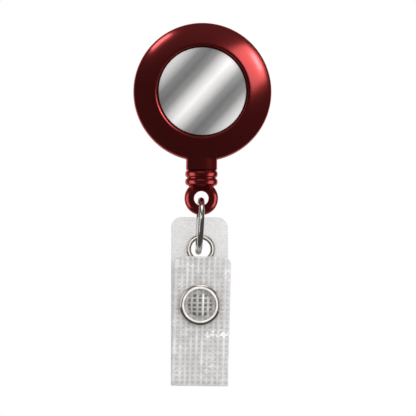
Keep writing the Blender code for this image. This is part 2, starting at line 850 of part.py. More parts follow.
def clip_bend(side):
    """Quarter of the clip's bend, from the top of the clip to one of its leaves."""
    middle = CLIP_BASE_BACK + CLIP_BEND_RADIUS
    start = math.degrees(math.acos(FOLD_GAP / CLIP_BEND_RADIUS))
    quarter = arc((0, CLIP_BEND_CENTRE), (side * CLIP_BEND_RADIUS, CLIP_BEND_RADIUS), start, 0, 4)
    return [(0, middle + y, z) for y, z in quarter]


def clip_base(material):
    over = OUTLINE_EXCESS
    path = clip_bend(-1)
    path += [(0, CLIP_BASE_BACK, z) for z in (CLIP_SHOULDER, CLIP_BOTTOM - over)]
    leaf = ribbon("clip_base", path, (CLIP_WIDTH + over, 0, 0), CLIP_THICKNESS)
    wide = CLIP_WIDTH / 2
    narrow = CLIP_NARROW / 2
    top = CLIP_BEND_CENTRE + 3 * CLIP_BEND_RADIUS
    corners = [
        (-wide, CLIP_BOTTOM, 2.0 * MM),
        (wide, CLIP_BOTTOM, 2.0 * MM),
        (wide, CLIP_SHOULDER - 1.0 * MM, 0),
        (narrow, CLIP_SHOULDER, 0),
        (narrow, top, 0),
        (-narrow, top, 0),
        (-narrow, CLIP_SHOULDER, 0),
        (-wide, CLIP_SHOULDER - 1.0 * MM, 0),
    ]
    combine(leaf, prism("base_outline", fillet(corners), -CLIP_BASE_BACK), "INTERSECT")
    hole = cylinder("rivet_hole", RIVET_HOLE, 3 * MM, (0, CLIP_BASE_BACK, 0), segments=COARSE)
    combine(leaf, hole, "DIFFERENCE")
    return finish(leaf, material)


def clip_tongue(material):
    """The free leaf, bent in to grip near its end and flared at its tip."""
    over = OUTLINE_EXCESS
    back = CLIP_BASE_BACK + 2 * CLIP_BEND_RADIUS
    path = clip_bend(1) + [(0, back + offset, z) for offset, z in TONGUE_BENDS]
    leaf = ribbon("clip_tongue", path, (CLIP_WIDTH + over, 0, 0), CLIP_THICKNESS)
    narrow = CLIP_NARROW / 2
    top = CLIP_BEND_CENTRE + 3 * CLIP_BEND_RADIUS
    corners = [
        (-narrow + TONGUE_TAPER, TONGUE_TIP, 2.0 * MM),
        (narrow - TONGUE_TAPER, TONGUE_TIP, 2.0 * MM),
        (narrow, CLIP_SHOULDER, 0),
        (narrow, top, 0),
        (-narrow, top, 0),
        (-narrow, CLIP_SHOULDER, 0),
    ]
    combine(leaf, prism("tongue_outline", fillet(corners), -back), "INTERSECT")
    return finish(leaf, material)


def clip_rivet(material):
    """Rivet through the clip and the case's floor, spread inside the hollow post."""
    tail = 1.75 * MM
    tail_face = FLOOR + CLEAR
    head_face = -(TOUCH + CLIP_THICKNESS + TOUCH)
    profile = [
        (0, tail_face + 0.5 * MM),
        (tail, tail_face + 0.5 * MM),
        (tail, tail_face),
        (RIVET_SHANK, tail_face),
        (RIVET_SHANK, head_face),
        (RIVET_HEAD, head_face),
    ]
    profile += arc((0, head_face - 0.1 * MM), (RIVET_HEAD, RIVET_HEAD_HEIGHT), 0, -90, 4)
    return finish(turned("clip_rivet", profile, COARSE), material)


def pivot(name, location, pieces, parent=None):
    """An empty on a joint's axis, which carries the pieces that move about it."""
    empty = link(bpy.data.objects.new(name, None))
    empty.location = location
    empty.empty_display_size = 3 * MM
    bpy.context.view_layer.update()
    if parent:
        empty.parent = parent
        empty.matrix_parent_inverse = parent.matrix_world.inverted()
        bpy.context.view_layer.update()
    for piece in pieces:
        piece.parent = empty
        piece.matrix_parent_inverse = empty.matrix_world.inverted()
    return empty


def main():
    clear_scene()
    make_collections()
    look = make_materials()
    red, white, nickel = look["red_plastic"], look["white_plastic"], look["nickel"]
    steel, cord, vinyl = look["spring_steel"], look["cord"], look["clear_vinyl"]
    seat_forward = SPOOL_FRONT - 0.9 * MM
    knot_middle = LEAD_BOTTOM - CLEAR - 0.8 * MM

    front_cover(red)
    rear_case(red)
    label_disc(look["silver_foil"])
    clip_base(steel)
    clip_rivet(nickel)
    cord_inlet(cord)
    tongue = clip_tongue(steel)
    wheel = [
        spool(white),
        power_spring(steel),
        cord_wound(cord),
        knot("cord_inner_knot", 0.6 * MM, 1.2 * MM, seat_forward, KNOT_SEAT_RADIUS, cord),
    ]
    cord_end = [
        cord_lead(cord),
        knot("cord_end_knot", 0.8 * MM, 1.6 * MM, CORD_FORWARD, knot_middle, cord),
    ]
    fitting = end_fitting(red)
    ring = jump_ring(nickel)
    layers = [
        strap_back(vinyl),
        grommet_eyelet(nickel),
        grommet_washer(nickel),
        snap_stud(nickel),
        snap_back_ring(nickel),
    ]
    flap = [strap_flap(vinyl), snap_socket(nickel), snap_cap_ring(nickel)]

    clip_axis_y = CLIP_BASE_BACK + CLIP_BEND_RADIUS
    clip_axis_z = CLIP_BEND_CENTRE + CLIP_BEND_RADIUS + CLIP_THICKNESS / 2
    fold_forward = CORD_FORWARD + FOLD_RADIUS
    pivot("clip_axis", (0, clip_axis_y, clip_axis_z), [tongue])
    pivot("spool_axis", (0, 0, 0), wheel)
    lead_axis = pivot("cord_axis", (0, -CORD_FORWARD, LEAD_TOP), cord_end)
    swivel = pivot("swivel_axis", (0, -CORD_FORWARD, FITTING_TOP), [fitting], lead_axis)
    eye_axis = pivot("eye_axis", (0, -CORD_FORWARD, RING_HANGER), [ring], swivel)
    ring_axis = pivot("ring_axis", ring_middle(), layers, eye_axis)
    pivot("fold_axis", (0, -fold_forward, STRAP_BOTTOM), flap, ring_axis)


main()
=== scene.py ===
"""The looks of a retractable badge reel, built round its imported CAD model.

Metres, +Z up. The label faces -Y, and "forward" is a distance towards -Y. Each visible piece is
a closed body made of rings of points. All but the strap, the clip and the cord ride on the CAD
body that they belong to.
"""

import math

import bmesh
import bpy
import numpy as np
from mathutils import Matrix, Vector


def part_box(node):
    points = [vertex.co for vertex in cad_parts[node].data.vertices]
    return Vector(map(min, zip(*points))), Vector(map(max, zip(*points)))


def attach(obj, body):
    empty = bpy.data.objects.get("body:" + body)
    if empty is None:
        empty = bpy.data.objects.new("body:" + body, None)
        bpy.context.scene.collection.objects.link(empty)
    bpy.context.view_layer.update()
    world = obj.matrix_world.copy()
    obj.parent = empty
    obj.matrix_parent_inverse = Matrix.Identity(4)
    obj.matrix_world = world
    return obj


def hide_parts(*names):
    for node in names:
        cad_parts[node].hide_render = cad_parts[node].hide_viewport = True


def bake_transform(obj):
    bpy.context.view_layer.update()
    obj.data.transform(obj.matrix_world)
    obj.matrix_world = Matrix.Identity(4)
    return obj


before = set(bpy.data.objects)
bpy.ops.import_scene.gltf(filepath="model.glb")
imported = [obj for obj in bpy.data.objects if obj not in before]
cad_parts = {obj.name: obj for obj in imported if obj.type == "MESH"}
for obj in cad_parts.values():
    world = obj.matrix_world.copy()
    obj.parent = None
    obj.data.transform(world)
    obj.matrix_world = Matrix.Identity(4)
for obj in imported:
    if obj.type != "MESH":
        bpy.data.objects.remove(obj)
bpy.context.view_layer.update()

MM = 0.001


def box(name):
    """A CAD node's lowest corner, highest corner and middle."""
    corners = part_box(name)
    return *corners, (corners[0] + corners[1]) / 2


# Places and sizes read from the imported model.
cover_low, cover_high, _ = box("front_cover")
label_low, label_high, _ = box("label_disc")
fitting_low, fitting_high, _ = box("end_fitting")
ring_low, ring_high, ring_middle = box("jump_ring")
_, back_high, _ = box("strap_back")
flap_low, flap_high, _ = box("strap_flap")
eyelet_low, eyelet_high, eyelet_middle = box("grommet_eyelet")
washer_low, washer_high, _ = box("grommet_washer")
cap_low, cap_high, cap_middle = box("snap_cap_ring")
back_ring_low, back_ring_high, _ = box("snap_back_ring")
_, socket_high, _ = box("snap_socket")
stud_low, stud_high, _ = box("snap_stud")
base_low, base_high, _ = box("clip_base")
tongue_low, tongue_high, _ = box("clip_tongue")
rivet_low, rivet_high, _ = box("clip_rivet")
lead_low, lead_high, lead_middle = box("cord_lead")

# Reel case. SOFT is the rounding of its moulded edges, and of the label's.
SOFT = 0.12 * MM
CASE_RADIUS = cover_high.x
CASE_DEPTH = -cover_low.y
PARTING = 4.0 * MM
PARTING_GAP = 0.02 * MM
BEZEL_CREST = 0.5 * MM
BEZEL_CURVE = 11.0 * MM
BEZEL_TILTS = (20, 48)
BACK_EDGE = 1.2 * MM
RECESS_RADIUS = label_high.x + 0.25 * MM
RECESS_FLOOR = -label_high.y - 0.2 * MM
CAVITY_RADIUS = 14.4 * MM
CAVITY_CEILING = 6.6 * MM
CAVITY_FLOOR = 1.2 * MM
REBATE_RADIUS = 15.3 * MM
LIP_RADIUS = 15.0 * MM
LIP_HEIGHT = 0.8 * MM
POST_RADIUS = 3.0 * MM
POST_BORE = 2.1 * MM
POST_HEIGHT = 6.3 * MM
RIVET_HOLE = 1.25 * MM
CORD_FORWARD = -lead_middle.y
NECK_RADIUS = 3.6 * MM
NECK_HALF_DEPTH = 3.0 * MM
NECK_BORE = 0.9 * MM
NECK_GAP = 0.04 * MM

# End fitting.
RIB_RADIUS = 3.77 * MM
RIB_PITCH = 1.8 * MM
RIB_HALF = 0.8 * MM
RIB_COUNT = 2
GROOVE_RADIUS = 3.3 * MM
EYE_RADIUS = 3.9 * MM
EYE_HOLE = 1.67 * MM
EYE_HALF_DEPTH = 1.5 * MM
EYE_FLAT = 2.35 * MM
EYE_CENTRE = fitting_low.z + EYE_RADIUS
BORE_RADIUS = 0.6 * MM

# Jump ring.
RING_WIRE = 0.675 * MM
RING_YAW = math.radians(3)
RING_LEAN = math.radians(2.5)
RING_RADIUS = ((ring_high.z - ring_low.z) / 2 - RING_WIRE) / math.cos(RING_LEAN)

# Vinyl strap: its middle line starts at the top of the back layer.
STRAP_WIDTH = 13.2 * MM
STRAP_THICKNESS = 0.6 * MM
BACK_FORWARD = CORD_FORWARD
FLAP_FORWARD = BACK_FORWARD + 2.6 * MM
FOLD_RADIUS = (FLAP_FORWARD - BACK_FORWARD) / 2
FOLD_CENTRE = flap_low.z + FOLD_RADIUS + STRAP_THICKNESS / 2
BACK_SKEW = -0.35 * MM
FLAP_SKEW = 0.5 * MM
BACK_CORNER = 2.5 * MM
FLAP_CORNER = 2.0 * MM
GROMMET_HOLE = 2.25 * MM
GROMMET_RADIUS = eyelet_high.x
SNAP_RADIUS = cap_high.x
SNAP_OPENING = 3.65 * MM
SNAP_CREST = 4.1 * MM
DOME_RADIUS = 2.9 * MM
DOME_HEIGHT = 0.8 * MM
THREAD_ACROSS = 1.26 * MM
THREAD_ALONG = 1.05 * MM
SINGLE_THREADS = (back_high.z - flap_high.z) / THREAD_ALONG
# Height of the band of painted highlights below the snap.
GLINT_HEIGHT = cap_middle.z - 6.6 * MM
THREAD_RELIEF = 0.035 * MM
STRAP_COLUMNS = 65

# Belt clip: its middle line starts at the lower end of the base.
CLIP_THICKNESS = 0.7 * MM
CLIP_HALF = base_high.x
CLIP_NARROW_HALF = tongue_high.x
CLIP_SHOULDER = 4.0 * MM
CLIP_BASE_BACK = base_low.y + CLIP_THICKNESS / 2
CLIP_BEND_RADIUS = 1.5 * MM
CLIP_BEND_CENTRE = tongue_high.z - CLIP_BEND_RADIUS - CLIP_THICKNESS / 2
CLIP_TONGUE_BACK = CLIP_BASE_BACK + 2 * CLIP_BEND_RADIUS
CLIP_GRIP = 1.1 * MM

# Cord braid.
CORD_STRANDS = 4
CORD_PITCH = 0.35 * MM

ROUND = 160
SHARP_ANGLE = math.radians(35)
NOISE_SPAN = (0.3, 0.7)  # where most of a noise lies

# The finishes made below, by the name of the record's slot.
looks = {}


def on_cord(height):
    """A point on the line of the cord, which the neck and the fitting are centred on."""
    return Vector((0, -CORD_FORWARD, height))


# -------------------- camera, light and stage


def make_camera():
    """Square on to the label, through a long lens, and rolled a little."""
    data = bpy.data.cameras.new("camera")
    data.lens = 200
    data.sensor_width = 36
    data.clip_start = 0.01
    data.clip_end = 20
    camera = bpy.data.objects.new("camera", data)
    bpy.context.scene.collection.objects.link(camera)
    camera.location = (1.58 * MM, -0.54, -26.87 * MM)
    camera.rotation_euler = (math.radians(90), math.radians(-0.6), 0)
    bpy.context.scene.camera = camera


def area_light(name, direction, distance, size, glow, target, lit, across=None):
    """A softbox that faces the target from that direction, with its width lying along across.

    glow is its surface's brightness, and lit names the collection that it is kept to.
    """
    data = bpy.data.lights.new(name, "AREA")
    data.shape = "RECTANGLE"
    data.size, data.size_y = size
    data.energy = glow * math.pi * size[0] * size[1]
    light = bpy.data.objects.new(name, data)
    bpy.context.scene.collection.objects.link(light)
    away = Vector(direction).normalized()
    light.location = target + away * distance
    width = Vector(across) if across else Vector((0, 0, 1)).cross(away)
    width = (width - away * width.dot(away)).normalized()
    light.rotation_euler = Matrix((width, away.cross(width), away)).transposed().to_euler()
    light.visible_camera = False
    light.light_linking.receiver_collection = collection(lit)


def collection(name):
    found = bpy.data.collections.get(name)
    if found is None:
        found = bpy.data.collections.new(name)
        bpy.context.scene.collection.children.link(found)
    return found


def make_world():
    """A white room: even light on matt surfaces, and in gloss a bright ring behind a dim front."""
    world = bpy.data.worlds.new("studio")
    bpy.context.scene.world = world
    world.use_nodes = True
    world.cycles.sampling_method = "NONE"
    tree = world.node_tree
    tree.nodes.clear()
    direction = node(tree, "TexCoord").outputs["Generated"]
    facing = {0: direction, 1: (-0.12, 0.97, -0.20)}
    behind = node(tree, "VectorMath", facing, operation="DOT_PRODUCT").outputs["Value"]
    wall = remap(tree, behind, (0.55, 0.80), (0.0, 1.4), smooth=True)
    gap = remap(tree, behind, (0.86, 0.95), (1.0, 0.10), smooth=True)
    ceiling = remap(tree, split(tree, direction)[2], (0.2, 1.0), (0.08, 0.20))
    gloss = calc(tree, "MULTIPLY_ADD", wall, gap, ceiling)
    path = node(tree, "LightPath")
    plain = calc(tree, "MAXIMUM", path.outputs["Is Camera Ray"], path.outputs["Is Diffuse Ray"])
    strength = node(tree, "Mix", {0: plain, 2: gloss, 3: 1.0}, data_type="FLOAT").outputs[0]
    shader = node(tree, "Background", {"Color": (1, 1, 1, 1), "Strength": strength})
    node(tree, "OutputWorld", {"Surface": shader.outputs[0]})


def make_lights():
    """Softboxes, each kept to a few pieces, so that every finish has its own highlights.

    A row holds area_light's values, from the name to the way that the width lies.
    """
    case = Vector()
    strap_top, eye = on_cord(back_high.z), on_cord(EYE_CENTRE)
    key_side, rim_side = (0.85, 0, 0.53), (-0.62, 0, 0.78)
    softboxes = [
        ("key", (0.77, -0.43, 0.48), 0.45, (0.44, 0.32), 3.3, case, "case_only", key_side),
        ("key_core", (0.845, -0.16, 0.528), 0.45, (0.10, 0.14), 12.0, case, "case_only", key_side),
        ("rim", (-0.62, 0.05, 0.78), 0.45, (0.07, 0.16), 9.0, case, "case_only", rim_side),
        ("pale_side", (0.55, -0.75, 0.36), 0.8, (0.6, 0.6), 3.3, strap_top, "pale"),
        ("hardware_front", (0.03, -1.0, 0.04), 0.8, (0.9, 0.9), 1.3, cap_middle, "flat_metal"),
        ("hardware_left", (-0.95, -0.05, 0.30), 0.4, (0.5, 0.4), 0.75, cap_middle, "flat_metal"),
        ("hardware_right", (0.97, -0.05, 0.10), 0.4, (0.4, 0.4), 0.45, cap_middle, "flat_metal"),
        ("ring_streak", (-0.80, -0.55, 0.20), 0.5, (0.12, 0.6), 2.2, ring_middle, "ring_only"),
        ("hardware_top", (0.1, -0.12, 1.0), 0.4, (0.3, 0.3), 1.6, eye, "hardware"),
        ("small_parts_top", (-0.09, -0.80, 0.60), 0.5, (0.30, 0.09), 1.6, strap_top, "small_parts"),
    ]
    for side in (-1, 1):
        away = (side * 0.88, -0.25, -0.15)
        softboxes.append(("eye_side", away, 0.3, (0.24, 0.30), 2.4, eye, "fitting_only"))
    for softbox in softboxes:
        area_light(*softbox)


def make_floor():
    """A pale floor, below the reach of the cord when it is pulled right out."""
    half = 4.0
    depth = -1.1
    mesh = bpy.data.meshes.new("floor")
    corners = [(-half, -half), (half, -half), (half, half), (-half, half)]
    mesh.from_pydata([(x, y, depth) for x, y in corners], [], [(0, 1, 2, 3)])
    floor = bpy.data.objects.new("floor", mesh)
    bpy.context.scene.collection.objects.link(floor)
    tree, shader = new_material("floor_paint", (0.82, 0.82, 0.81), 0.7)
    grain = noise(tree, 6.0, 3)
    tint = blend_colour(tree, grain, (0.80, 0.80, 0.79), (0.84, 0.84, 0.83))
    wire(shader, Base_Color=tint)
    mesh.materials.append(looks["floor_paint"])
    floor.visible_glossy = False


# -------------------- material nodes


def node(tree, kind, inputs=None, **settings):
    """Adds a shader node. inputs gives a socket's name or index a value, or another's output."""
    made = tree.nodes.new("ShaderNode" + kind)
    for key, value in settings.items():
        setattr(made, key, value)
    for key, value in (inputs or {}).items():
        if isinstance(value, bpy.types.NodeSocket):
            tree.links.new(value, made.inputs[key])
        else:
            made.inputs[key].default_value = value
    return made


def calc(tree, operation, *values):
    inputs = dict(enumerate(values))
    return node(tree, "Math", inputs, operation=operation).outputs[0]


def remap(tree, value, source, target, smooth=False):
    inputs = {0: value, 1: source[0], 2: source[1], 3: target[0], 4: target[1]}
    made = node(tree, "MapRange", inputs)
    if smooth:
        made.interpolation_type = "SMOOTHSTEP"
    return made.outputs[0]


def split(tree, vector):
    """A vector's X, Y and Z."""
    return list(node(tree, "SeparateXYZ", {0: vector}).outputs)


def blend_colour(tree, factor, first, second):
    inputs = {0: factor, 6: first, 7: second}
    for key in (6, 7):
        if not isinstance(inputs[key], bpy.types.NodeSocket):
            inputs[key] = (*inputs[key], 1)
    return node(tree, "Mix", inputs, data_type="RGBA").outputs[2]


def ramp(tree, factor, stops):
    made = node(tree, "ValToRGB", {0: factor})
    elements = made.color_ramp.elements
    elements.remove(elements[-1])
    elements[0].position = stops[0][0]
    for at, _ in stops[1:]:
        elements.new(at)
    for element, (_, colour) in zip(elements, stops):
        element.color = (*colour, 1)
    return made.outputs["Color"]


def object_coordinates(tree, scale=(1, 1, 1), turn=(0, 0, 0)):
    plain = node(tree, "TexCoord").outputs["Object"]
    turned = node(tree, "Mapping", {0: plain, "Rotation": turn})
    return node(tree, "Mapping", {0: turned.outputs[0], "Scale": scale}).outputs[0]


def noise(tree, scale, detail=2, vector=None):
    """Noise from 0 to 1 in object coordinates. scale is in features per metre."""
    inputs = {"Vector": vector or object_coordinates(tree), "Scale": scale, "Detail": detail}
    return node(tree, "TexNoise", inputs).outputs[0]


def bump(tree, height, distance, normal=None):
    inputs = {"Height": height, "Distance": distance}
    if normal:
        inputs["Normal"] = normal
    return node(tree, "Bump", inputs).outputs[0]


def new_material(name, colour, roughness, **sockets):
    material = bpy.data.materials.new("look_" + name)
    looks[name] = material
    material.use_nodes = True
    shader = material.node_tree.nodes["Principled BSDF"]
    shader.inputs["Base Color"].default_value = (*colour, 1)
    shader.inputs["Roughness"].default_value = roughness
    for key, value in sockets.items():
        shader.inputs[key.replace("_", " ")].default_value = value
    return material.node_tree, shader


def wire(shader, **outputs):
    """Links each output to the shader's socket of that name."""
    for key, output in outputs.items():
        shader.id_data.links.new(output, shader.inputs[key.replace("_", " ")])


# -------------------- materials


def make_red_plastic():
    """Moulded metallic red: a fine pearl in the colour, under a thin gloss with faint orange peel."""
    tree, shader = new_material(
        "red_plastic", (0.2, 0.01, 0.01), 0.3, Metallic=0.95, Coat_Weight=0.45, Coat_Roughness=0.2
    )
    shader.inputs["Specular Tint"].default_value = (1.0, 0.25, 0.25, 1)
    pearl = noise(tree, 9000, 2)
    cloud = noise(tree, 120, 2)
    fine = blend_colour(tree, pearl, (0.22, 0.012, 0.013), (0.34, 0.028, 0.026))
    clouded = remap(tree, cloud, NOISE_SPAN, (0.0, 0.35))
    peel = bump(tree, noise(tree, 700, 1), 0.0025 * MM)
    wire(
        shader,
        Base_Color=blend_colour(tree, clouded, fine, (0.21, 0.010, 0.012)),
        Roughness=remap(tree, cloud, NOISE_SPAN, (0.22, 0.28)),
        Normal=bump(tree, pearl, 0.0008 * MM, peel),
        Coat_Normal=peel,
    )


def make_foil():
    """Silver foil, its colour a painted reflection in soft diagonal bands, lightly brushed along them.
    """
    tree, shader = new_material("silver_foil", (0.6, 0.6, 0.6), 0.32, Metallic=0.25, Coat_Weight=0.3)
    bands = math.radians(48)
    across = split(tree, object_coordinates(tree, turn=(0, bands, 0)))[2]
    from_middle = calc(tree, "DIVIDE", calc(tree, "ABSOLUTE", across), label_high.x)
    # Painted reflection: grey levels across the bands, a bright stripe down the middle and darker bands
    # either side.
    reflection_shades = [(0, 0.97), (0.17, 0.66), (0.33, 0.27), (0.5, 0.15)]
    reflection_shades += [(0.67, 0.225), (0.83, 0.56), (0.95, 0.78)]
    tint = (1, 0.985, 0.98)
    colour = ramp(tree, from_middle, [(at, [shade * part for part in tint]) for at, shade in reflection_shades])
    stretched = object_coordinates(tree, scale=(1, 1, 30), turn=(0, bands, 0))
    brushed = noise(tree, 900, 3, stretched)
    worn = remap(tree, brushed, NOISE_SPAN, (0.0, 0.05))
    wire(
        shader,
        Base_Color=blend_colour(tree, worn, colour, (1, 1, 1)),
        Roughness=remap(tree, brushed, NOISE_SPAN, (0.26, 0.38)),
        Normal=bump(tree, brushed, 0.001 * MM),
    )


def make_nickel():
    """Bright nickel plate with small pits and warmer patches."""
    tree, shader = new_material("nickel", (0.66, 0.63, 0.59), 0.16, Metallic=1.0)
    patches = remap(tree, noise(tree, 500, 3), (0.35, 0.7), (0, 1))
    pits = noise(tree, 7000, 2)
    wire(
        shader,
        Base_Color=blend_colour(tree, patches, (0.74, 0.72, 0.69), (0.60, 0.56, 0.51)),
        Roughness=remap(tree, pits, (0.3, 0.75), (0.12, 0.26)),
        Normal=bump(tree, pits, 0.0015 * MM),
    )


def make_spring_steel(name, mapped):
    """Plated spring steel, ground along its length, with scuffs that are rougher.

    A mapped strip has its own map, and one wound about Y is ground across the object's Y axis.
    """
    tree, shader = new_material(name, (0.5, 0.5, 0.51), 0.3, Metallic=1.0)
    if mapped:
        coordinates = node(tree, "UVMap", uv_map="strip").outputs[0]
        along = node(tree, "Mapping", {0: coordinates, "Scale": (14, 0.35, 1)}).outputs[0]
    else:
        along = object_coordinates(tree, scale=(350, 14000, 350))
    grain = noise(tree, 1.6, 4, along)
    ground = remap(tree, grain, NOISE_SPAN, (0.18, 0.30))
    scuffs = remap(tree, noise(tree, 420, 4), (0.55, 0.75), (0.0, 0.2))
    wire(
        shader,
        Base_Color=blend_colour(tree, grain, (0.40, 0.41, 0.43), (0.62, 0.62, 0.63)),
        Roughness=calc(tree, "ADD", ground, scuffs),
        Normal=bump(tree, grain, 0.002 * MM),
    )


def make_white_plastic():
    """Matt moulded white, with the fine texture and faint flow marks of acetal."""
    tree, shader = new_material("white_plastic", (0.75, 0.74, 0.70), 0.45, Subsurface_Weight=0.1)
    shader.inputs["Subsurface Scale"].default_value = MM
    texture = noise(tree, 5200, 2)
    wire(
        shader,
        Base_Color=blend_colour(tree, noise(tree, 260, 3), (0.70, 0.69, 0.65), (0.79, 0.78, 0.75)),
        Roughness=remap(tree, texture, NOISE_SPAN, (0.38, 0.52)),
        Normal=bump(tree, texture, 0.004 * MM),
    )


def braid(tree, shader, along, around):
    """Colours two sets of strands that wind against each other, and returns their relief."""
    waves = []
    for hand in (1, -1):
        waves.append(calc(tree, "SINE", calc(tree, "MULTIPLY_ADD", around, hand, along)))
    weave = calc(tree, "MAXIMUM", *waves)
    # Painted shade: the colour is darker where the strands sink, in the valleys between them.
    shade = remap(tree, weave, (-0.6, 1), (0, 1))
    wire(shader, Base_Color=blend_colour(tree, shade, (0.006, 0.006, 0.007), (0.035, 0.035, 0.038)))
    return bump(tree, weave, 0.03 * MM)


def make_cord():
    """Black braided nylon: two sets of strands wind round the cord against each other."""
    tree, shader = new_material("cord", (0.02, 0.02, 0.022), 0.62, Sheen_Weight=0.4)
    shader.inputs["Sheen Roughness"].default_value = 0.4
    x, y, z = split(tree, object_coordinates(tree))
    angle = calc(tree, "ARCTAN2", calc(tree, "ADD", y, CORD_FORWARD), x)
    around = calc(tree, "MULTIPLY", angle, CORD_STRANDS)
    along = calc(tree, "MULTIPLY", z, math.tau / CORD_PITCH)
    wire(
        shader,
        Roughness=remap(tree, noise(tree, 14000, 2), NOISE_SPAN, (0.5, 0.75)),
        Normal=braid(tree, shader, along, around),
    )


def make_wound_cord():
    """The same nylon on the spool: turns side by side along Y, each one braided about the axis."""
    tree, shader = new_material("wound_cord", (0.02, 0.02, 0.022), 0.62, Sheen_Weight=0.4)
    x, y, z = split(tree, object_coordinates(tree))
    turns = calc(tree, "MULTIPLY", y, math.tau / (lead_high.x * 2))
    along = calc(tree, "MULTIPLY", calc(tree, "ARCTAN2", z, x), 180)
    strands = braid(tree, shader, along, calc(tree, "MULTIPLY", turns, 2))
    wire(shader, Normal=bump(tree, calc(tree, "COSINE", turns), 0.15 * MM, strands))


def thread_distance(tree, coordinate):
    """Distance to the nearest thread, from 0 on it to 0.5 midway between two."""
    shifted = calc(tree, "ADD", coordinate, 0.5)
    return calc(tree, "ABSOLUTE", calc(tree, "SUBTRACT", calc(tree, "FRACT", shifted), 0.5))


def thread_shade(tree, first, second):
    """A number from 0 to 1 for each stretch of a thread, the same all over the stretch."""
    cell = {}
    for i, coordinate in enumerate((first, second)):
        cell[i] = calc(tree, "FLOOR", calc(tree, "ADD", coordinate, 0.5))
    spot = node(tree, "CombineXYZ", cell).outputs[0]
    return node(tree, "TexWhiteNoise", {0: spot}, noise_dimensions="2D").outputs[0]


def scrim(tree, weave, across, along):
    """How much thread there is, from 0 to 1. The upright threads are the stronger ones."""
    streaks = node(tree, "Mapping", {0: weave, "Scale": (1.0, 0.13, 1)}).outputs[0]
    strong = remap(tree, noise(tree, 0.9, 2, streaks), (0.35, 0.65), (0.45, 1.0))
    upright = remap(tree, thread_distance(tree, across), (0.08, 0.34), (1.0, 0.0), smooth=True)
    level = remap(tree, thread_distance(tree, along), (0.06, 0.30), (0.5, 0.0), smooth=True)
    return calc(tree, "MAXIMUM", calc(tree, "MULTIPLY", upright, strong), level)


def painted_snap_shade_mask(tree, sideways, height):
    """1 on the dome over the snap, where the cells take painted shade and the threads are paler; 0 off
    it.
    """
    above = calc(tree, "SUBTRACT", height, cap_middle.z)
    square = calc(tree, "ADD", calc(tree, "POWER", sideways, 2), calc(tree, "POWER", above, 2))
    rim = (0.86 * DOME_RADIUS, 1.05 * DOME_RADIUS)
    return remap(tree, calc(tree, "SQRT", square), rim, (1.0, 0.0), smooth=True)


def glints(tree, weave, across, along, sideways, height):
    """Painted highlights: small bright flecks here and there, and more in a band on the right below the
    snap.
    """
    finer = [calc(tree, "MULTIPLY", count, 3) for count in (across, along)]
    chance = remap(tree, thread_shade(tree, *finer), (0.35, 0.95), (0.0, 0.9))
    patch = remap(tree, noise(tree, 0.33, 2, weave), (0.48, 0.70), (0.0, 0.45), smooth=True)
    off = calc(tree, "ABSOLUTE", calc(tree, "SUBTRACT", height, GLINT_HEIGHT))
    band = remap(tree, off, (0.5 * MM, 1.3 * MM), (1.0, 0.0), smooth=True)
    right = remap(tree, sideways, (0.5 * MM, 2.0 * MM), (0.0, 1.0), smooth=True)
    glint_streak = calc(tree, "MULTIPLY", band, right)
    return calc(tree, "MULTIPLY", chance, calc(tree, "MAXIMUM", patch, glint_streak))


def make_vinyl():
    """Clear vinyl over a white scrim. The map "strip" counts threads across and along the strip."""
    tree, shader = new_material(
        "clear_vinyl", (0.7, 0.7, 0.7), 0.3, Coat_Weight=0.35, Coat_Roughness=0.12
    )
    weave = node(tree, "UVMap", uv_map="strip").outputs[0]
    across, along, _ = split(tree, weave)
    sideways, _, height = split(tree, object_coordinates(tree))
    single = remap(tree, along, (SINGLE_THREADS, SINGLE_THREADS + 3), (0.78, 1.0))
    thread = calc(tree, "MULTIPLY", scrim(tree, weave, across, along), single)
    cloud = noise(tree, 0.6, 3, weave)
    variety = calc(tree, "MULTIPLY", thread_shade(tree, across, along), 0.5)
    shade = calc(tree, "MULTIPLY_ADD", cloud, 0.5, variety)
    stretched = painted_snap_shade_mask(tree, sideways, height)
    cell = blend_colour(tree, shade, (0.47, 0.455, 0.45), (0.62, 0.605, 0.60))
    # Painted shade over the snap: near-black cells for the dark socket under them; the threads there
    # are paler.
    cell = blend_colour(tree, stretched, cell, (0.10, 0.095, 0.09))
    fibre = blend_colour(tree, shade, (0.56, 0.545, 0.54), (0.80, 0.79, 0.785))
    fibre = blend_colour(tree, stretched, fibre, (0.90, 0.89, 0.88))
    woven = blend_colour(tree, thread, cell, fibre)
    # Painted highlights: the glints turn the colour white and the vinyl less clear.
    glint = glints(tree, weave, across, along, sideways, height)
    opacity = calc(tree, "MULTIPLY_ADD", thread, 0.28, 0.40)
    opacity = calc(tree, "MULTIPLY_ADD", shade, 0.12, opacity)
    opacity = calc(tree, "MULTIPLY_ADD", glint, 0.3, opacity)
    ripple = bump(tree, thread, 0.02 * MM)
    wire(
        shader,
        Base_Color=blend_colour(tree, glint, woven, (1.0, 1.0, 1.0)),
        Alpha=calc(tree, "MULTIPLY", opacity, single),
        Roughness=remap(tree, cloud, NOISE_SPAN, (0.22, 0.36)),
        Normal=bump(tree, noise(tree, 9, 2, weave), 0.006 * MM, ripple),
    )


# -------------------- building closed bodies


def new_piece(name, shape, material):
    mesh = bpy.data.meshes.new(name)
    bmesh.ops.recalc_face_normals(shape, faces=shape.faces)
    shape.to_mesh(mesh)
    shape.free()
    piece = bpy.data.objects.new(name, mesh)
    bpy.context.scene.collection.objects.link(piece)
    mesh.materials.append(looks[material])
    soften(piece)
    return piece


def soften(piece):
    """Smooth shading, with edges kept where two faces meet sharply."""
    piece.data.shade_smooth()
    piece.data.set_sharp_from_angle(angle=SHARP_ANGLE)


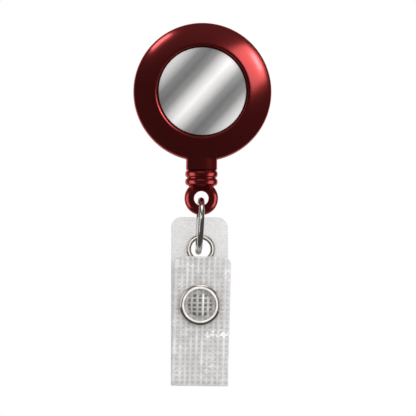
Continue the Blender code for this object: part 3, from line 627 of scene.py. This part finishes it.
def skin(name, rows, material, looped=False, marks=None):
    """A closed body through rings of points. A row of one point closes an end, and so does a flat face.

    looped joins the last row to the first. marks gives a (u, v) for each point of each row.
    """
    shape = bmesh.new()
    places = [[shape.verts.new(point) for point in row] for row in rows]
    uv = shape.loops.layers.uv.new("strip") if marks else None
    where = {}
    if marks:
        for row, row_marks in zip(places, marks):
            where.update(zip(row, row_marks))
    pairs = list(zip(places, places[1:]))
    if looped:
        pairs.append((places[-1], places[0]))
    for first, second in pairs:
        for i in range(max(len(first), len(second))):
            corners = [first[i % len(first)], first[(i + 1) % len(first)]]
            corners += [second[(i + 1) % len(second)], second[i % len(second)]]
            shape.faces.new(dict.fromkeys(corners))
    if not looped:
        for row in (places[0], places[-1]):
            if len(row) > 1:
                shape.faces.new(row)
    if marks:
        for face in shape.faces:
            for loop in face.loops:
                loop[uv].uv = where[loop.vert]
    return new_piece(name, shape, material)


def circle(radius, forward, centre, count):
    """A ring of points about the axis through centre along -Y. With no radius it is one point."""
    if radius == 0:
        return [centre + Vector((0, -forward, 0))]
    ring = []
    for i in range(count):
        angle = math.tau * i / count
        offset = Vector((radius * math.cos(angle), -forward, radius * math.sin(angle)))
        ring.append(centre + offset)
    return ring


def lathe(name, profile, material, centre=Vector(), count=ROUND):
    """A profile of (radius, forward) turned about -Y. It starts and ends on the axis, or is a loop."""
    rows = [circle(radius, forward, centre, count) for radius, forward in profile]
    return skin(name, rows, material, looped=profile[0][0] > 0)


def arc(centre, radii, start, end, steps):
    """Points of an elliptical arc between two angles in degrees, both ends included."""
    points = []
    for i in range(steps + 1):
        angle = math.radians(start + (end - start) * i / steps)
        points.append((centre[0] + radii[0] * math.cos(angle), centre[1] + radii[1] * math.sin(angle)))
    return points


def rounded(corners, steps=5):
    """A profile through corners (radius, height, fillet), each rounded to its own fillet."""
    outline = []
    for i, (x, z, fillet) in enumerate(corners):
        corner = Vector((x, z))
        if fillet == 0:
            outline.append((x, z))
            continue
        before = (Vector(corners[i - 1][:2]) - corner).normalized()
        after = (Vector(corners[(i + 1) % len(corners)][:2]) - corner).normalized()
        half = before.angle(after) / 2
        centre = corner + (before + after).normalized() * fillet / math.sin(half)
        first = corner + before * fillet / math.tan(half) - centre
        last = corner + after * fillet / math.tan(half) - centre
        start = math.atan2(first.y, first.x)
        sweep = (math.atan2(last.y, last.x) - start + math.pi) % math.tau - math.pi
        for step in range(steps + 1):
            angle = start + sweep * step / steps
            outline.append((centre.x + fillet * math.cos(angle), centre.y + fillet * math.sin(angle)))
    return outline


def tube(name, points, radius, material, count):
    """A round cord or wire along points, with even rings that don't twist."""
    points = [Vector(point) for point in points]
    rows = []
    side = None
    for i, point in enumerate(points):
        heading = (points[min(i + 1, len(points) - 1)] - points[max(i - 1, 0)]).normalized()
        if side is None:
            side = heading.orthogonal().normalized()
        side = (side - heading * side.dot(heading)).normalized()
        other = heading.cross(side)
        turns = [math.tau * k / count for k in range(count)]
        rows.append([point + radius * (side * math.cos(a) + other * math.sin(a)) for a in turns])
    return skin(name, rows, material)


def combine(piece, other, operation):
    """A Boolean with another object, which is then removed."""
    modifier = piece.modifiers.new("combine", "BOOLEAN")
    modifier.operation = operation
    modifier.object = other
    modifier.solver = "EXACT"
    bpy.context.view_layer.update()
    graph = bpy.context.evaluated_depsgraph_get()
    mesh = bpy.data.meshes.new_from_object(piece.evaluated_get(graph))
    piece.modifiers.clear()
    piece.data = mesh
    mesh.name = piece.name
    material = mesh.materials[0]
    mesh.materials.clear()
    mesh.materials.append(material)
    mesh.polygons.foreach_set("material_index", [0] * len(mesh.polygons))
    bpy.data.objects.remove(other, do_unlink=True)
    soften(piece)


def drill(piece, radius, centre, count):
    """A round hole along Y through a thin piece."""
    profile = [(0, MM), (radius, MM), (radius, -MM), (0, -MM)]
    combine(piece, lathe("cutter", profile, "nickel", centre, count), "DIFFERENCE")


def block(lowest, highest):
    """A square cutter between two corners."""
    (x0, y0, z0), (x1, y1, z1) = lowest, highest
    rows = []
    for z in (z0, z1):
        rows.append([(x0, y0, z), (x1, y0, z), (x1, y1, z), (x0, y1, z)])
    return skin("cutter", rows, "nickel")


def place(piece, body, stands_for):
    """The piece moves with a body, and stands for a CAD node."""
    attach(piece, body)
    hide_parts(stands_for)


# -------------------- reel case


def bezel():
    """Profile from the recess over the lip's crest, down the convex face and round to the side."""
    first, last = BEZEL_TILTS
    lip = (RECESS_RADIUS + BEZEL_CREST, CASE_DEPTH - BEZEL_CREST)
    points = arc(lip, (BEZEL_CREST, BEZEL_CREST), 180, 90 - first, 12)
    tilt = math.radians(first)
    across = points[-1][0] - BEZEL_CURVE * math.sin(tilt)
    along = points[-1][1] - BEZEL_CURVE * math.cos(tilt)
    points += arc((across, along), (BEZEL_CURVE, BEZEL_CURVE), 90 - first, 90 - last, 24)[1:]
    tilt = math.radians(last)
    edge = (CASE_RADIUS - points[-1][0]) / (1 - math.sin(tilt))
    along = points[-1][1] - edge * math.cos(tilt)
    return points + arc((CASE_RADIUS - edge, along), (edge, edge), 90 - last, 0, 10)[1:]


def case_radius(forward):
    """The outer radius of the case at a distance forward of its back."""
    if forward < BACK_EDGE:
        rest = BACK_EDGE - max(forward, 0)
        return CASE_RADIUS - BACK_EDGE + math.sqrt(max(BACK_EDGE**2 - rest**2, 0))
    radii, heights = np.array([point for point in bezel() if point[0] > RECESS_RADIUS + BEZEL_CREST]).T
    return float(np.interp(forward, heights[::-1], radii[::-1]))


def oval_ring(half_x, half_y, height, count=ROUND):
    """A level oval of points round the cord's line. With no size it is one point."""
    if half_x == 0:
        return [on_cord(height)]
    ring = []
    for i in range(count):
        angle = math.tau * i / count
        x, y = half_x * math.cos(angle), half_y * math.sin(angle)
        ring.append(on_cord(height) + Vector((x, y, 0)))
    return ring


def bore(profile, count):
    """A cutter of (radius, height) about the cord's line."""
    rows = [oval_ring(radius, radius, height, count) for radius, height in profile]
    return skin("cutter", rows, "red_plastic")


def neck():
    """An oval neck below the case. It flares where it meets the case, most of all at the front."""
    count = 96
    buried = 0.03 * MM
    fillet = 0.3 * MM
    bottom = fitting_high.z + NECK_GAP
    slimmer = NECK_RADIUS - NECK_HALF_DEPTH

    def ring(flare_share, drop_share):
        points = []
        for i in range(count):
            angle = math.tau * i / count
            frontness = max(-math.sin(angle), 0) ** 2
            flare = (0.30 + 0.65 * frontness) * MM
            reach = NECK_RADIUS + flare * flare_share
            x, y = reach * math.cos(angle), (reach - slimmer) * math.sin(angle)
            surface = -math.sqrt(case_radius(CORD_FORWARD - y) ** 2 - x**2)
            points.append(on_cord(surface - flare * drop_share + buried) + Vector((x, y, 0)))
        return points

    rows = [[on_cord(bottom)]]
    rows.append(oval_ring(NECK_RADIUS - 2 * fillet, NECK_HALF_DEPTH - 2 * fillet, bottom, count))
    for radius, height in arc((NECK_RADIUS - fillet, bottom + fillet), (fillet, fillet), -90, 0, 5):
        rows.append(oval_ring(radius, radius - slimmer, height, count))
    for i in range(9):
        turn = math.radians(90 * i / 8)
        rows.append(ring(1 - math.cos(turn), 1 - math.sin(turn)))
    rows.append(ring(1, -0.35))
    inner = 2.6 * MM
    rows.append(oval_ring(inner, inner, -CAVITY_RADIUS - 0.45 * MM, count))
    rows.append([on_cord(-CAVITY_RADIUS - 0.7 * MM)])
    return skin("neck", rows, "red_plastic")


def cord_passage():
    """The way of the cord through the neck, with a flared mouth on the inside."""
    inside = -CAVITY_RADIUS + 0.3 * MM
    profile = [(0, inside), (3.0 * MM, inside), (NECK_BORE, lead_high.z)]
    mouth = fitting_high.z
    profile += [(NECK_BORE, mouth + 0.3 * MM), (1.25 * NECK_BORE, mouth), (0, mouth)]
    return bore(profile, 48)


def with_neck(piece, near, far):
    """Joins the part of the neck between two distances forward, and opens the cord's way."""
    half = neck()
    reach = 2 * CASE_RADIUS
    combine(half, block((-reach, -far, -reach), (reach, -near, reach)), "INTERSECT")
    combine(piece, half, "UNION")
    combine(piece, cord_passage(), "DIFFERENCE")


def front_cover():
    """The front half: the label's recess, the bezel, and a rebate for the rear half's lip."""
    edge = PARTING + PARTING_GAP / 2
    rebate = PARTING + LIP_HEIGHT + 0.3 * MM
    recess = [(0, RECESS_FLOOR, 0), (RECESS_RADIUS, RECESS_FLOOR, SOFT), (RECESS_RADIUS, CASE_DEPTH, 0)]
    profile = rounded(recess)[:-1] + bezel()
    profile += arc((CASE_RADIUS - SOFT, edge + SOFT), (SOFT, SOFT), 0, -90, 3)
    profile += [(REBATE_RADIUS, edge), (REBATE_RADIUS, rebate), (CAVITY_RADIUS, rebate)]
    profile += [(CAVITY_RADIUS, CAVITY_CEILING), (0, CAVITY_CEILING)]
    cover = lathe("case_front", profile, "red_plastic")
    with_neck(cover, edge, CASE_DEPTH)
    place(cover, "case", "front_cover")


def rear_case():
    """The back half, with a shallow dished back, a rim inside its edge and a slotted post."""
    edge = PARTING - PARTING_GAP / 2
    lip = PARTING + LIP_HEIGHT
    dish = 0.12 * MM
    rim = CASE_RADIUS - 2.6 * MM
    boss = 5.6 * MM
    profile = [(POST_BORE, POST_HEIGHT), (POST_RADIUS - SOFT, POST_HEIGHT)]
    profile += [(POST_RADIUS, POST_HEIGHT - SOFT), (POST_RADIUS, CAVITY_FLOOR)]
    profile += [(CAVITY_RADIUS, CAVITY_FLOOR), (CAVITY_RADIUS, lip)]
    profile += [(LIP_RADIUS - SOFT, lip), (LIP_RADIUS, lip - SOFT), (LIP_RADIUS, edge)]
    profile += arc((CASE_RADIUS - SOFT, edge - SOFT), (SOFT, SOFT), 90, 0, 3)
    profile += arc((CASE_RADIUS - BACK_EDGE, BACK_EDGE), (BACK_EDGE, BACK_EDGE), 0, -90, 10)
    profile += [(rim, 0), (rim - 1.5 * dish, dish), (boss, dish), (boss - dish, 0)]
    profile += [(RIVET_HOLE, 0), (RIVET_HOLE, CAVITY_FLOOR), (POST_BORE, CAVITY_FLOOR)]
    case = lathe("case_back", profile, "red_plastic")
    with_neck(case, 0, edge)
    slot = 0.4 * MM
    slot_floor = CAVITY_FLOOR + 0.6 * MM
    reach = 2 * POST_RADIUS
    cutter = block((-slot, -2 * POST_HEIGHT, -reach), (slot, -slot_floor, reach))
    combine(case, cutter, "DIFFERENCE")
    place(case, "case", "rear_case")


def label():
    """A foil disc with a softened edge, domed by a few hundredths of a millimetre."""
    radius = label_high.x - 0.1 * MM
    back, front = -label_high.y, -label_low.y
    profile = [(0, front), (radius / 2, front - 0.005 * MM)]
    profile += arc((radius - SOFT, front - 0.02 * MM - SOFT), (SOFT, SOFT), 90, 0, 4)
    profile += [(radius, back), (0, back)]
    place(lathe("label", profile, "silver_foil"), "case", "label_disc")


# -------------------- end fitting and ring


def end_fitting():
    """Two soft ribs over a shoulder that flattens into a thick, rounded eye."""
    top = fitting_high.z
    bulge = RIB_RADIUS - GROOVE_RADIUS
    rows = [[on_cord(top)], oval_ring(GROOVE_RADIUS * 0.9, GROOVE_RADIUS * 0.9, top)]
    for rib in range(RIB_COUNT):
        middle = top - RIB_HALF - rib * RIB_PITCH
        for out, rise in arc((GROOVE_RADIUS, middle), (bulge, RIB_HALF), 85, -85, 14):
            rows.append(oval_ring(out, out, rise))
    foot = top - 2 * RIB_HALF - RIB_PITCH
    shoulders = [(3.05, 3.05, 0.10), (2.9, 2.75, 0.32), (2.85, 2.3, 0.62)]
    shoulders += [(2.8, 1.85, 0.95), (2.6, 1.4, 1.12)]
    rows += [oval_ring(x * MM, y * MM, foot - drop * MM) for x, y, drop in shoulders]
    body = skin("fitting", rows, "red_plastic")
    soft = 0.22 * MM
    face = EYE_HALF_DEPTH
    section = arc((EYE_HOLE + soft, face - soft), (soft, soft), 180, 90, 4)
    section += arc((EYE_FLAT, 0), (EYE_RADIUS - EYE_FLAT, face), 90, -90, 28)
    section += arc((EYE_HOLE + soft, soft - face), (soft, soft), -90, -180, 4)
    eye = lathe("eye", section, "red_plastic", on_cord(EYE_CENTRE))
    combine(body, eye, "UNION")
    width, deep = 0.11 * MM, 0.16 * MM
    for front in (-1, 1):
        seam = front * (RIB_RADIUS + 0.06 * MM) - CORD_FORWARD
        cutter = block((-width, seam - deep, foot), (width, seam + deep, top + MM))
        combine(body, cutter, "DIFFERENCE")
    chamber = EYE_CENTRE + EYE_HOLE
    chamber_radius, floor = 1.1 * MM, chamber - 0.4 * MM
    passage = [(0, top + MM), (BORE_RADIUS, top + MM), (BORE_RADIUS, lead_low.z + 0.4 * MM)]
    passage += [(chamber_radius, lead_low.z + 0.1 * MM), (chamber_radius, floor), (0, floor)]
    combine(body, bore(passage, 32), "DIFFERENCE")
    place(body, "fitting", "end_fitting")


def jump_ring():
    """A round wire bent to a circle, with its cut ends butted together low at the back."""
    sideways = Vector((-math.sin(RING_YAW), math.cos(RING_YAW), 0))
    lean = math.sin(RING_LEAN)
    upwards = Vector((lean * math.cos(RING_YAW), lean * math.sin(RING_YAW), math.cos(RING_LEAN)))
    start, half_gap = math.radians(-40), math.radians(0.3)
    points = []
    for angle in np.linspace(start + half_gap, start + math.tau - half_gap, 201):
        reach = sideways * math.cos(angle) + upwards * math.sin(angle)
        points.append(ring_middle + RING_RADIUS * reach)
    place(tube("ring", points, RING_WIRE, "nickel", count=24), "ring", "jump_ring")


# -------------------- strips: strap and clip


def walk(path):
    """Distances along a path of (y, z), and its unit normal at each point."""
    points = np.array(path)
    steps = np.hypot(*np.diff(points, axis=0).T)
    distance = np.concatenate([[0], np.cumsum(steps)])
    slope = np.gradient(points, distance, axis=0)
    slope /= np.linalg.norm(slope, axis=1)[:, None]
    return distance, np.stack([slope[:, 1], -slope[:, 0]], axis=1)


def resample(path, step, ends):
    """The path with even rows, and with close rows near both ends where its corners are rounded."""
    distance, _ = walk(path)
    total = distance[-1]
    count = round((total - 2 * ends) / step)
    near = ends * (1 - np.cos(np.linspace(0, math.pi / 2, 12)[:-1]))
    at = np.concatenate([near, np.linspace(ends, total - ends, count), total - near[::-1]])
    points = np.array(path)
    return list(zip(np.interp(at, distance, points[:, 0]), np.interp(at, distance, points[:, 1])))


def corner_inset(left, radius):
    """How far a rounded corner pulls the side in, at a distance left from the end."""
    rest = max(radius - max(left, 0), 0)
    return radius - math.sqrt(max(radius**2 - rest**2, 0))


def strip(
    name, path, half_width, thickness, material, columns, mark, shift=None, relief=None, bulge=None
):
    """A closed strip along a path of (y, z), whose faces lie half the thickness either side.

    half_width(s, length) and shift(s, length) give its sides, and mark(x, s) is its map.
    relief(x, s) raises each face outwards, and bulge(x, s) moves both along the path's normal.
    """
    distance, normals = walk(path)
    total = distance[-1]
    soft = thickness * 0.22
    rows, marks = [], []
    for s, (y, z), normal in zip(distance, path, normals):
        half = half_width(s, total)
        thin = corner_inset(min(s, total - s), soft)
        aside = shift(s, total) if shift else 0
        flat = np.linspace(-1, 1, columns) * (half - soft)
        row = []
        for side in (1, -1):
            for x in side * flat:
                raised = relief(x, s) if relief else 0
                moved = bulge(x, s) if bulge else 0
                row.append((x, side * (thickness / 2 - thin + raised) + moved))
            for turn in (30, 60, 90, 120, 150):
                angle = math.radians(turn)
                out = half - soft + soft * math.sin(angle)
                bend = thickness / 2 - soft + soft * math.cos(angle) if turn < 90 else 0
                if turn > 90:
                    bend = soft - thickness / 2 + soft * math.cos(angle)
                row.append((side * out, side * bend * (1 - 2 * thin / thickness)))
        marks.append([mark(x, s) for x, _ in row])
        ring = [(x + aside, y + lift * normal[0], z + lift * normal[1]) for x, lift in row]
        rows.append([Vector(point) for point in ring])
    return skin(name, rows, material, marks=marks)


def strap_path():
    """Down the back layer, round the fold, and up the flap."""
    path = [(-BACK_FORWARD, back_high.z)]
    middle = -BACK_FORWARD - FOLD_RADIUS
    path += [(middle + y, z) for y, z in arc((0, FOLD_CENTRE), (FOLD_RADIUS, FOLD_RADIUS), 0, -180, 40)]
    path.append((-FLAP_FORWARD, flap_high.z))
    return resample(path, 0.2 * MM, BACK_CORNER)


def thread_places(seed, near, far, pitch):
    """Where the threads lie: evenly spaced, each a little out of place."""
    scatter = np.random.default_rng(seed)
    count = math.ceil((far - near) / pitch) + 2
    start = near - pitch / 2
    return start + pitch * (np.arange(count) + scatter.uniform(-0.09, 0.09, count))


def strap():
    """One strip of scrim vinyl, from behind the ring round the fold and up to the flap's top."""
    path = strap_path()
    total = walk(path)[0][-1]
    half = STRAP_WIDTH / 2
    columns = thread_places(3, -half, half, THREAD_ACROSS)
    rows = thread_places(5, 0, total, THREAD_ALONG)
    snap_at = total - (flap_high.z - cap_middle.z)
    fold_at = (back_high.z - FOLD_CENTRE) + math.pi * FOLD_RADIUS / 2

    def half_width(s, length):
        corner = BACK_CORNER if s < length / 2 else FLAP_CORNER
        return half - corner_inset(min(s, length - s), corner)

    def shift(s, length):
        """Each layer leans: it starts square at the fold, and is furthest over at its top."""
        if s < fold_at:
            return BACK_SKEW * (fold_at - s) / fold_at
        return FLAP_SKEW * (s - fold_at) / (length - fold_at)

    def mark(x, s):
        across = np.interp(x, columns, np.arange(len(columns)))
        return float(across), float(np.interp(s, rows, np.arange(len(rows))))

    def relief(x, s):
        u, v = mark(x, s)
        across = abs(u - round(u)) * THREAD_ACROSS / (0.28 * MM)
        along = abs(v - round(v)) * THREAD_ALONG / (0.24 * MM)
        lift = THREAD_RELIEF * max(math.exp(-(across**2)), 0.5 * math.exp(-(along**2)))
        near_edge = min(half - abs(x), s, total - s) / (0.4 * MM)
        return lift * min(max(near_edge, 0), 1)

    def bulge(x, s):
        """The flap stands out over the snap's socket, against the strip's normal."""
        from_snap = math.hypot(x + shift(s, total), s - snap_at)
        if s < fold_at or from_snap > DOME_RADIUS:
            return 0
        return -DOME_HEIGHT * math.sqrt(1 - (from_snap / DOME_RADIUS) ** 2)

    shape = (half_width, STRAP_THICKNESS, "clear_vinyl", STRAP_COLUMNS, mark, shift, relief, bulge)
    vinyl = strip("strap_vinyl", path, *shape)
    drill(vinyl, GROMMET_HOLE + 0.35 * MM, Vector((0, -BACK_FORWARD, eyelet_middle.z)), 64)
    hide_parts("strap_back", "strap_flap")
    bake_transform(vinyl)


def clip_path():
    """Up the base, over the bend, and down the tongue to its flared tip."""
    middle = CLIP_BASE_BACK + CLIP_BEND_RADIUS
    back = CLIP_TONGUE_BACK
    path = [(CLIP_BASE_BACK, base_low.z)]
    bend = (CLIP_BEND_RADIUS, CLIP_BEND_RADIUS)
    path += [(middle + y, z) for y, z in arc((0, CLIP_BEND_CENTRE), bend, 180, 0, 32)]
    knees = [(back, -5.0 * MM), (back - 0.35 * MM, -6.8 * MM), (back - 1.0 * MM, -8.6 * MM)]
    knees += [(back - CLIP_GRIP, -9.5 * MM), (back - 0.8 * MM, -10.3 * MM)]
    tip = tongue_low.z + 0.15 * MM
    knees.append((back + 0.42 * MM, tip))
    points = np.array(knees)
    rise = np.linspace(points[0, 1], tip, 40)
    run = np.interp(-rise, -points[:, 1], points[:, 0])
    soft = np.convolve(np.pad(run, 3, mode="edge"), np.ones(7) / 7, mode="valid")
    soft[-3:] = run[-3:]
    path += list(zip(soft, rise))
    return resample(path, 0.3 * MM, 2.0 * MM)


def clip():
    """One strip of spring steel."""
    path = clip_path()
    shoulder = CLIP_SHOULDER - base_low.z

    def half_width(s, length):
        corner = 2.0 * MM
        if s < length / 2:
            narrowing = min(max((s - shoulder + MM) / MM, 0), 1)
            side = CLIP_HALF + (CLIP_NARROW_HALF - CLIP_HALF) * (3 - 2 * narrowing) * narrowing**2
        else:
            left = min((length - s) / (16 * MM), 1)
            side = CLIP_NARROW_HALF - MM * (1 - left)
        return side - corner_inset(min(s, length - s), corner)

    def mark(x, s):
        return x / MM, s / MM

    leaf = strip("clip", path, half_width, CLIP_THICKNESS, "spring_steel", 25, mark)
    drill(leaf, RIVET_HOLE, Vector((0, CLIP_BASE_BACK, 0)), 48)
    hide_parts("clip_base", "clip_tongue")
    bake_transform(leaf)


# -------------------- small metal pieces


def hardware(name, profile, body, stands_for, centre, count=96):
    """A turned nickel piece that moves with a body."""
    place(lathe(name, profile, "nickel", centre, count=count), body, stands_for)


def grommet():
    """A rolled eyelet through a washer."""
    centre = Vector((0, -BACK_FORWARD, eyelet_middle.z))
    face = STRAP_THICKNESS / 2 + THREAD_RELIEF
    front = -BACK_FORWARD - eyelet_low.y
    back = BACK_FORWARD + eyelet_high.y
    barrel = 2.5 * MM
    middle = (GROMMET_HOLE + GROMMET_RADIUS) / 2
    half = (GROMMET_RADIUS - GROMMET_HOLE) / 2
    profile = arc((middle, face), (half, front - face), 180, 0, 18)
    profile += [(GROMMET_RADIUS - 0.06 * MM, face - 0.03 * MM), (barrel, face - 0.03 * MM)]
    roll = 0.25 * MM - back
    profile += [(barrel, roll + 0.1 * MM)]
    profile += arc((2.62 * MM, roll - 0.02 * MM), (0.37 * MM, 0.20 * MM), 40, -180, 12)
    hardware("eyelet", profile, "strap", "grommet_eyelet", centre)
    inner, outer = barrel + 0.3 * MM, GROMMET_RADIUS
    near, far = -washer_low.y - BACK_FORWARD, -washer_high.y - BACK_FORWARD
    soft = 0.06 * MM
    corners = [(inner, near, 0), (outer, near, 0), (outer, far, soft), (inner, far, soft)]
    hardware("washer", rounded(corners, 3), "strap", "grommet_washer", centre)


def snap_ring_profile(near, far):
    """Section of a pronged ring from the face that lies on the strap to its rounded crest."""
    way = 1 if far > near else -1
    corners = [
        (SNAP_OPENING, near, 0),
        (SNAP_OPENING, far - way * 0.10 * MM, 0.14 * MM),
        (SNAP_CREST, far + way * 0.02 * MM, 0.9 * MM),
        (SNAP_RADIUS - 0.12 * MM, far - way * 0.42 * MM, 0.30 * MM),
        (SNAP_RADIUS, near, 0),
    ]
    return rounded(corners, 8)


def snap():
    """Cap ring and socket on the flap, stud and back ring on the back layer."""
    centre = Vector((0, 0, cap_middle.z))
    profile = snap_ring_profile(-cap_high.y, -cap_low.y)
    hardware("cap_ring", profile, "flap", "snap_cap_ring", centre, 128)
    profile = snap_ring_profile(-back_ring_low.y, -back_ring_high.y)
    hardware("back_ring", profile, "strap", "snap_back_ring", centre, 128)

    mouth, crown = -socket_high.y, 6.85 * MM
    flange = FLAP_FORWARD - STRAP_THICKNESS / 2 - 0.2 * MM
    flange_radius = 4.1 * MM
    wall = 0.25 * MM
    corners = [
        (0, crown, 0),
        (2.4 * MM, crown - 0.25 * MM, 0.3 * MM),
        (2.5 * MM, flange, 0.1 * MM),
        (flange_radius, flange, 0.08 * MM),
        (flange_radius, flange - wall, 0.08 * MM),
        (2.6 * MM, flange - wall, 0.1 * MM),
        (2.6 * MM, mouth, 0.15 * MM),
        (1.95 * MM, mouth, 0.15 * MM),
        (1.95 * MM, crown - 2 * wall, 0.3 * MM),
        (0, crown - 2 * wall, 0),
    ]
    hardware("socket", rounded(corners, 4), "flap", "snap_socket", centre)

    near, tip = -stud_high.y, -stud_low.y
    corners = [
        (0, tip, 0),
        (1.2 * MM, tip, 0.25 * MM),
        (1.65 * MM, tip - 0.4 * MM, 0.15 * MM),
        (1.4 * MM, tip - 0.9 * MM, 0.15 * MM),
        (1.4 * MM, near + 0.2 * MM, 0.06 * MM),
        (flange_radius, near + 0.2 * MM, 0.06 * MM),
        (flange_radius, near, 0.06 * MM),
        (0, near, 0),
    ]
    hardware("stud", rounded(corners, 4), "strap", "snap_stud", centre)


def rivet():
    """Domed head behind the clip, shank through the case, and its tail spread in the post."""
    head = -rivet_high.y
    under = -base_low.y - CLIP_THICKNESS - 0.2 * MM
    tail = -rivet_low.y
    head_radius = 2.4 * MM
    corners = [
        (0, tail, 0),
        (1.75 * MM, tail, 0.12 * MM),
        (1.75 * MM, tail - 0.5 * MM, 0.12 * MM),
        (0.95 * MM, tail - 0.5 * MM, 0.05 * MM),
        (0.95 * MM, under, 0.05 * MM),
        (head_radius, under, 0.05 * MM),
    ]
    profile = rounded(corners + [(head_radius, head, 0)], 4)[:-1]
    profile += arc((0, under - 0.1 * MM), (head_radius, under - 0.1 * MM - head), 0, -90, 16)
    hardware("rivet", profile, "case", "clip_rivet", Vector())


# -------------------- cord


def lead():
    """The straight run of cord between the case and the fitting."""
    heights = np.linspace(lead_high.z, lead_low.z, 241)
    line = [(lead_middle.x, lead_middle.y, float(height)) for height in heights]
    cord = tube("cord_lead_braid", line, lead_high.x, "cord", count=16)
    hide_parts("cord_lead")
    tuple(line[0])
    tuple(line[-1])
    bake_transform(cord)


def paint_cad_nodes():
    """Procedural finishes on the CAD nodes that stay, which are all inside the case or the fitting."""
    finishes = {
        "spool": "white_plastic",
        "power_spring": "wound_steel",
        "cord_wound": "wound_cord",
        "cord_inner_knot": "wound_cord",
        "cord_inlet": "wound_cord",
        "cord_end_knot": "cord",
    }
    for name, finish in finishes.items():
        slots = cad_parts[name].data.materials
        slots.clear()
        slots.append(looks[finish])


def link_lit():
    """The collections that the kept lights shine on."""
    lit = {
        "hardware": ["ring", "eyelet", "washer", "cap_ring", "back_ring", "socket", "stud", "rivet"],
        "small_parts": ["fitting", "ring", "eyelet", "cap_ring", "socket", "strap_vinyl"],
        "flat_metal": ["eyelet", "washer", "cap_ring", "back_ring", "socket", "stud", "rivet"],
        "ring_only": ["ring"],
        "fitting_only": ["fitting"],
        "case_only": ["case_front", "case_back"],
        "pale": ["label", "strap_vinyl"],
    }
    for name, pieces in lit.items():
        for piece in pieces:
            collection(name).objects.link(bpy.data.objects[piece])


def main():
    bpy.context.scene.view_settings.view_transform = "Standard"
    make_camera()
    make_red_plastic()
    make_foil()
    make_nickel()
    make_spring_steel("spring_steel", mapped=True)
    make_spring_steel("wound_steel", mapped=False)
    make_white_plastic()
    make_cord()
    make_wound_cord()
    make_vinyl()
    make_world()
    make_lights()
    make_floor()
    lead()
    front_cover()
    rear_case()
    label()
    end_fitting()
    jump_ring()
    strap()
    clip()
    grommet()
    snap()
    rivet()
    paint_cad_nodes()
    link_lit()


main()
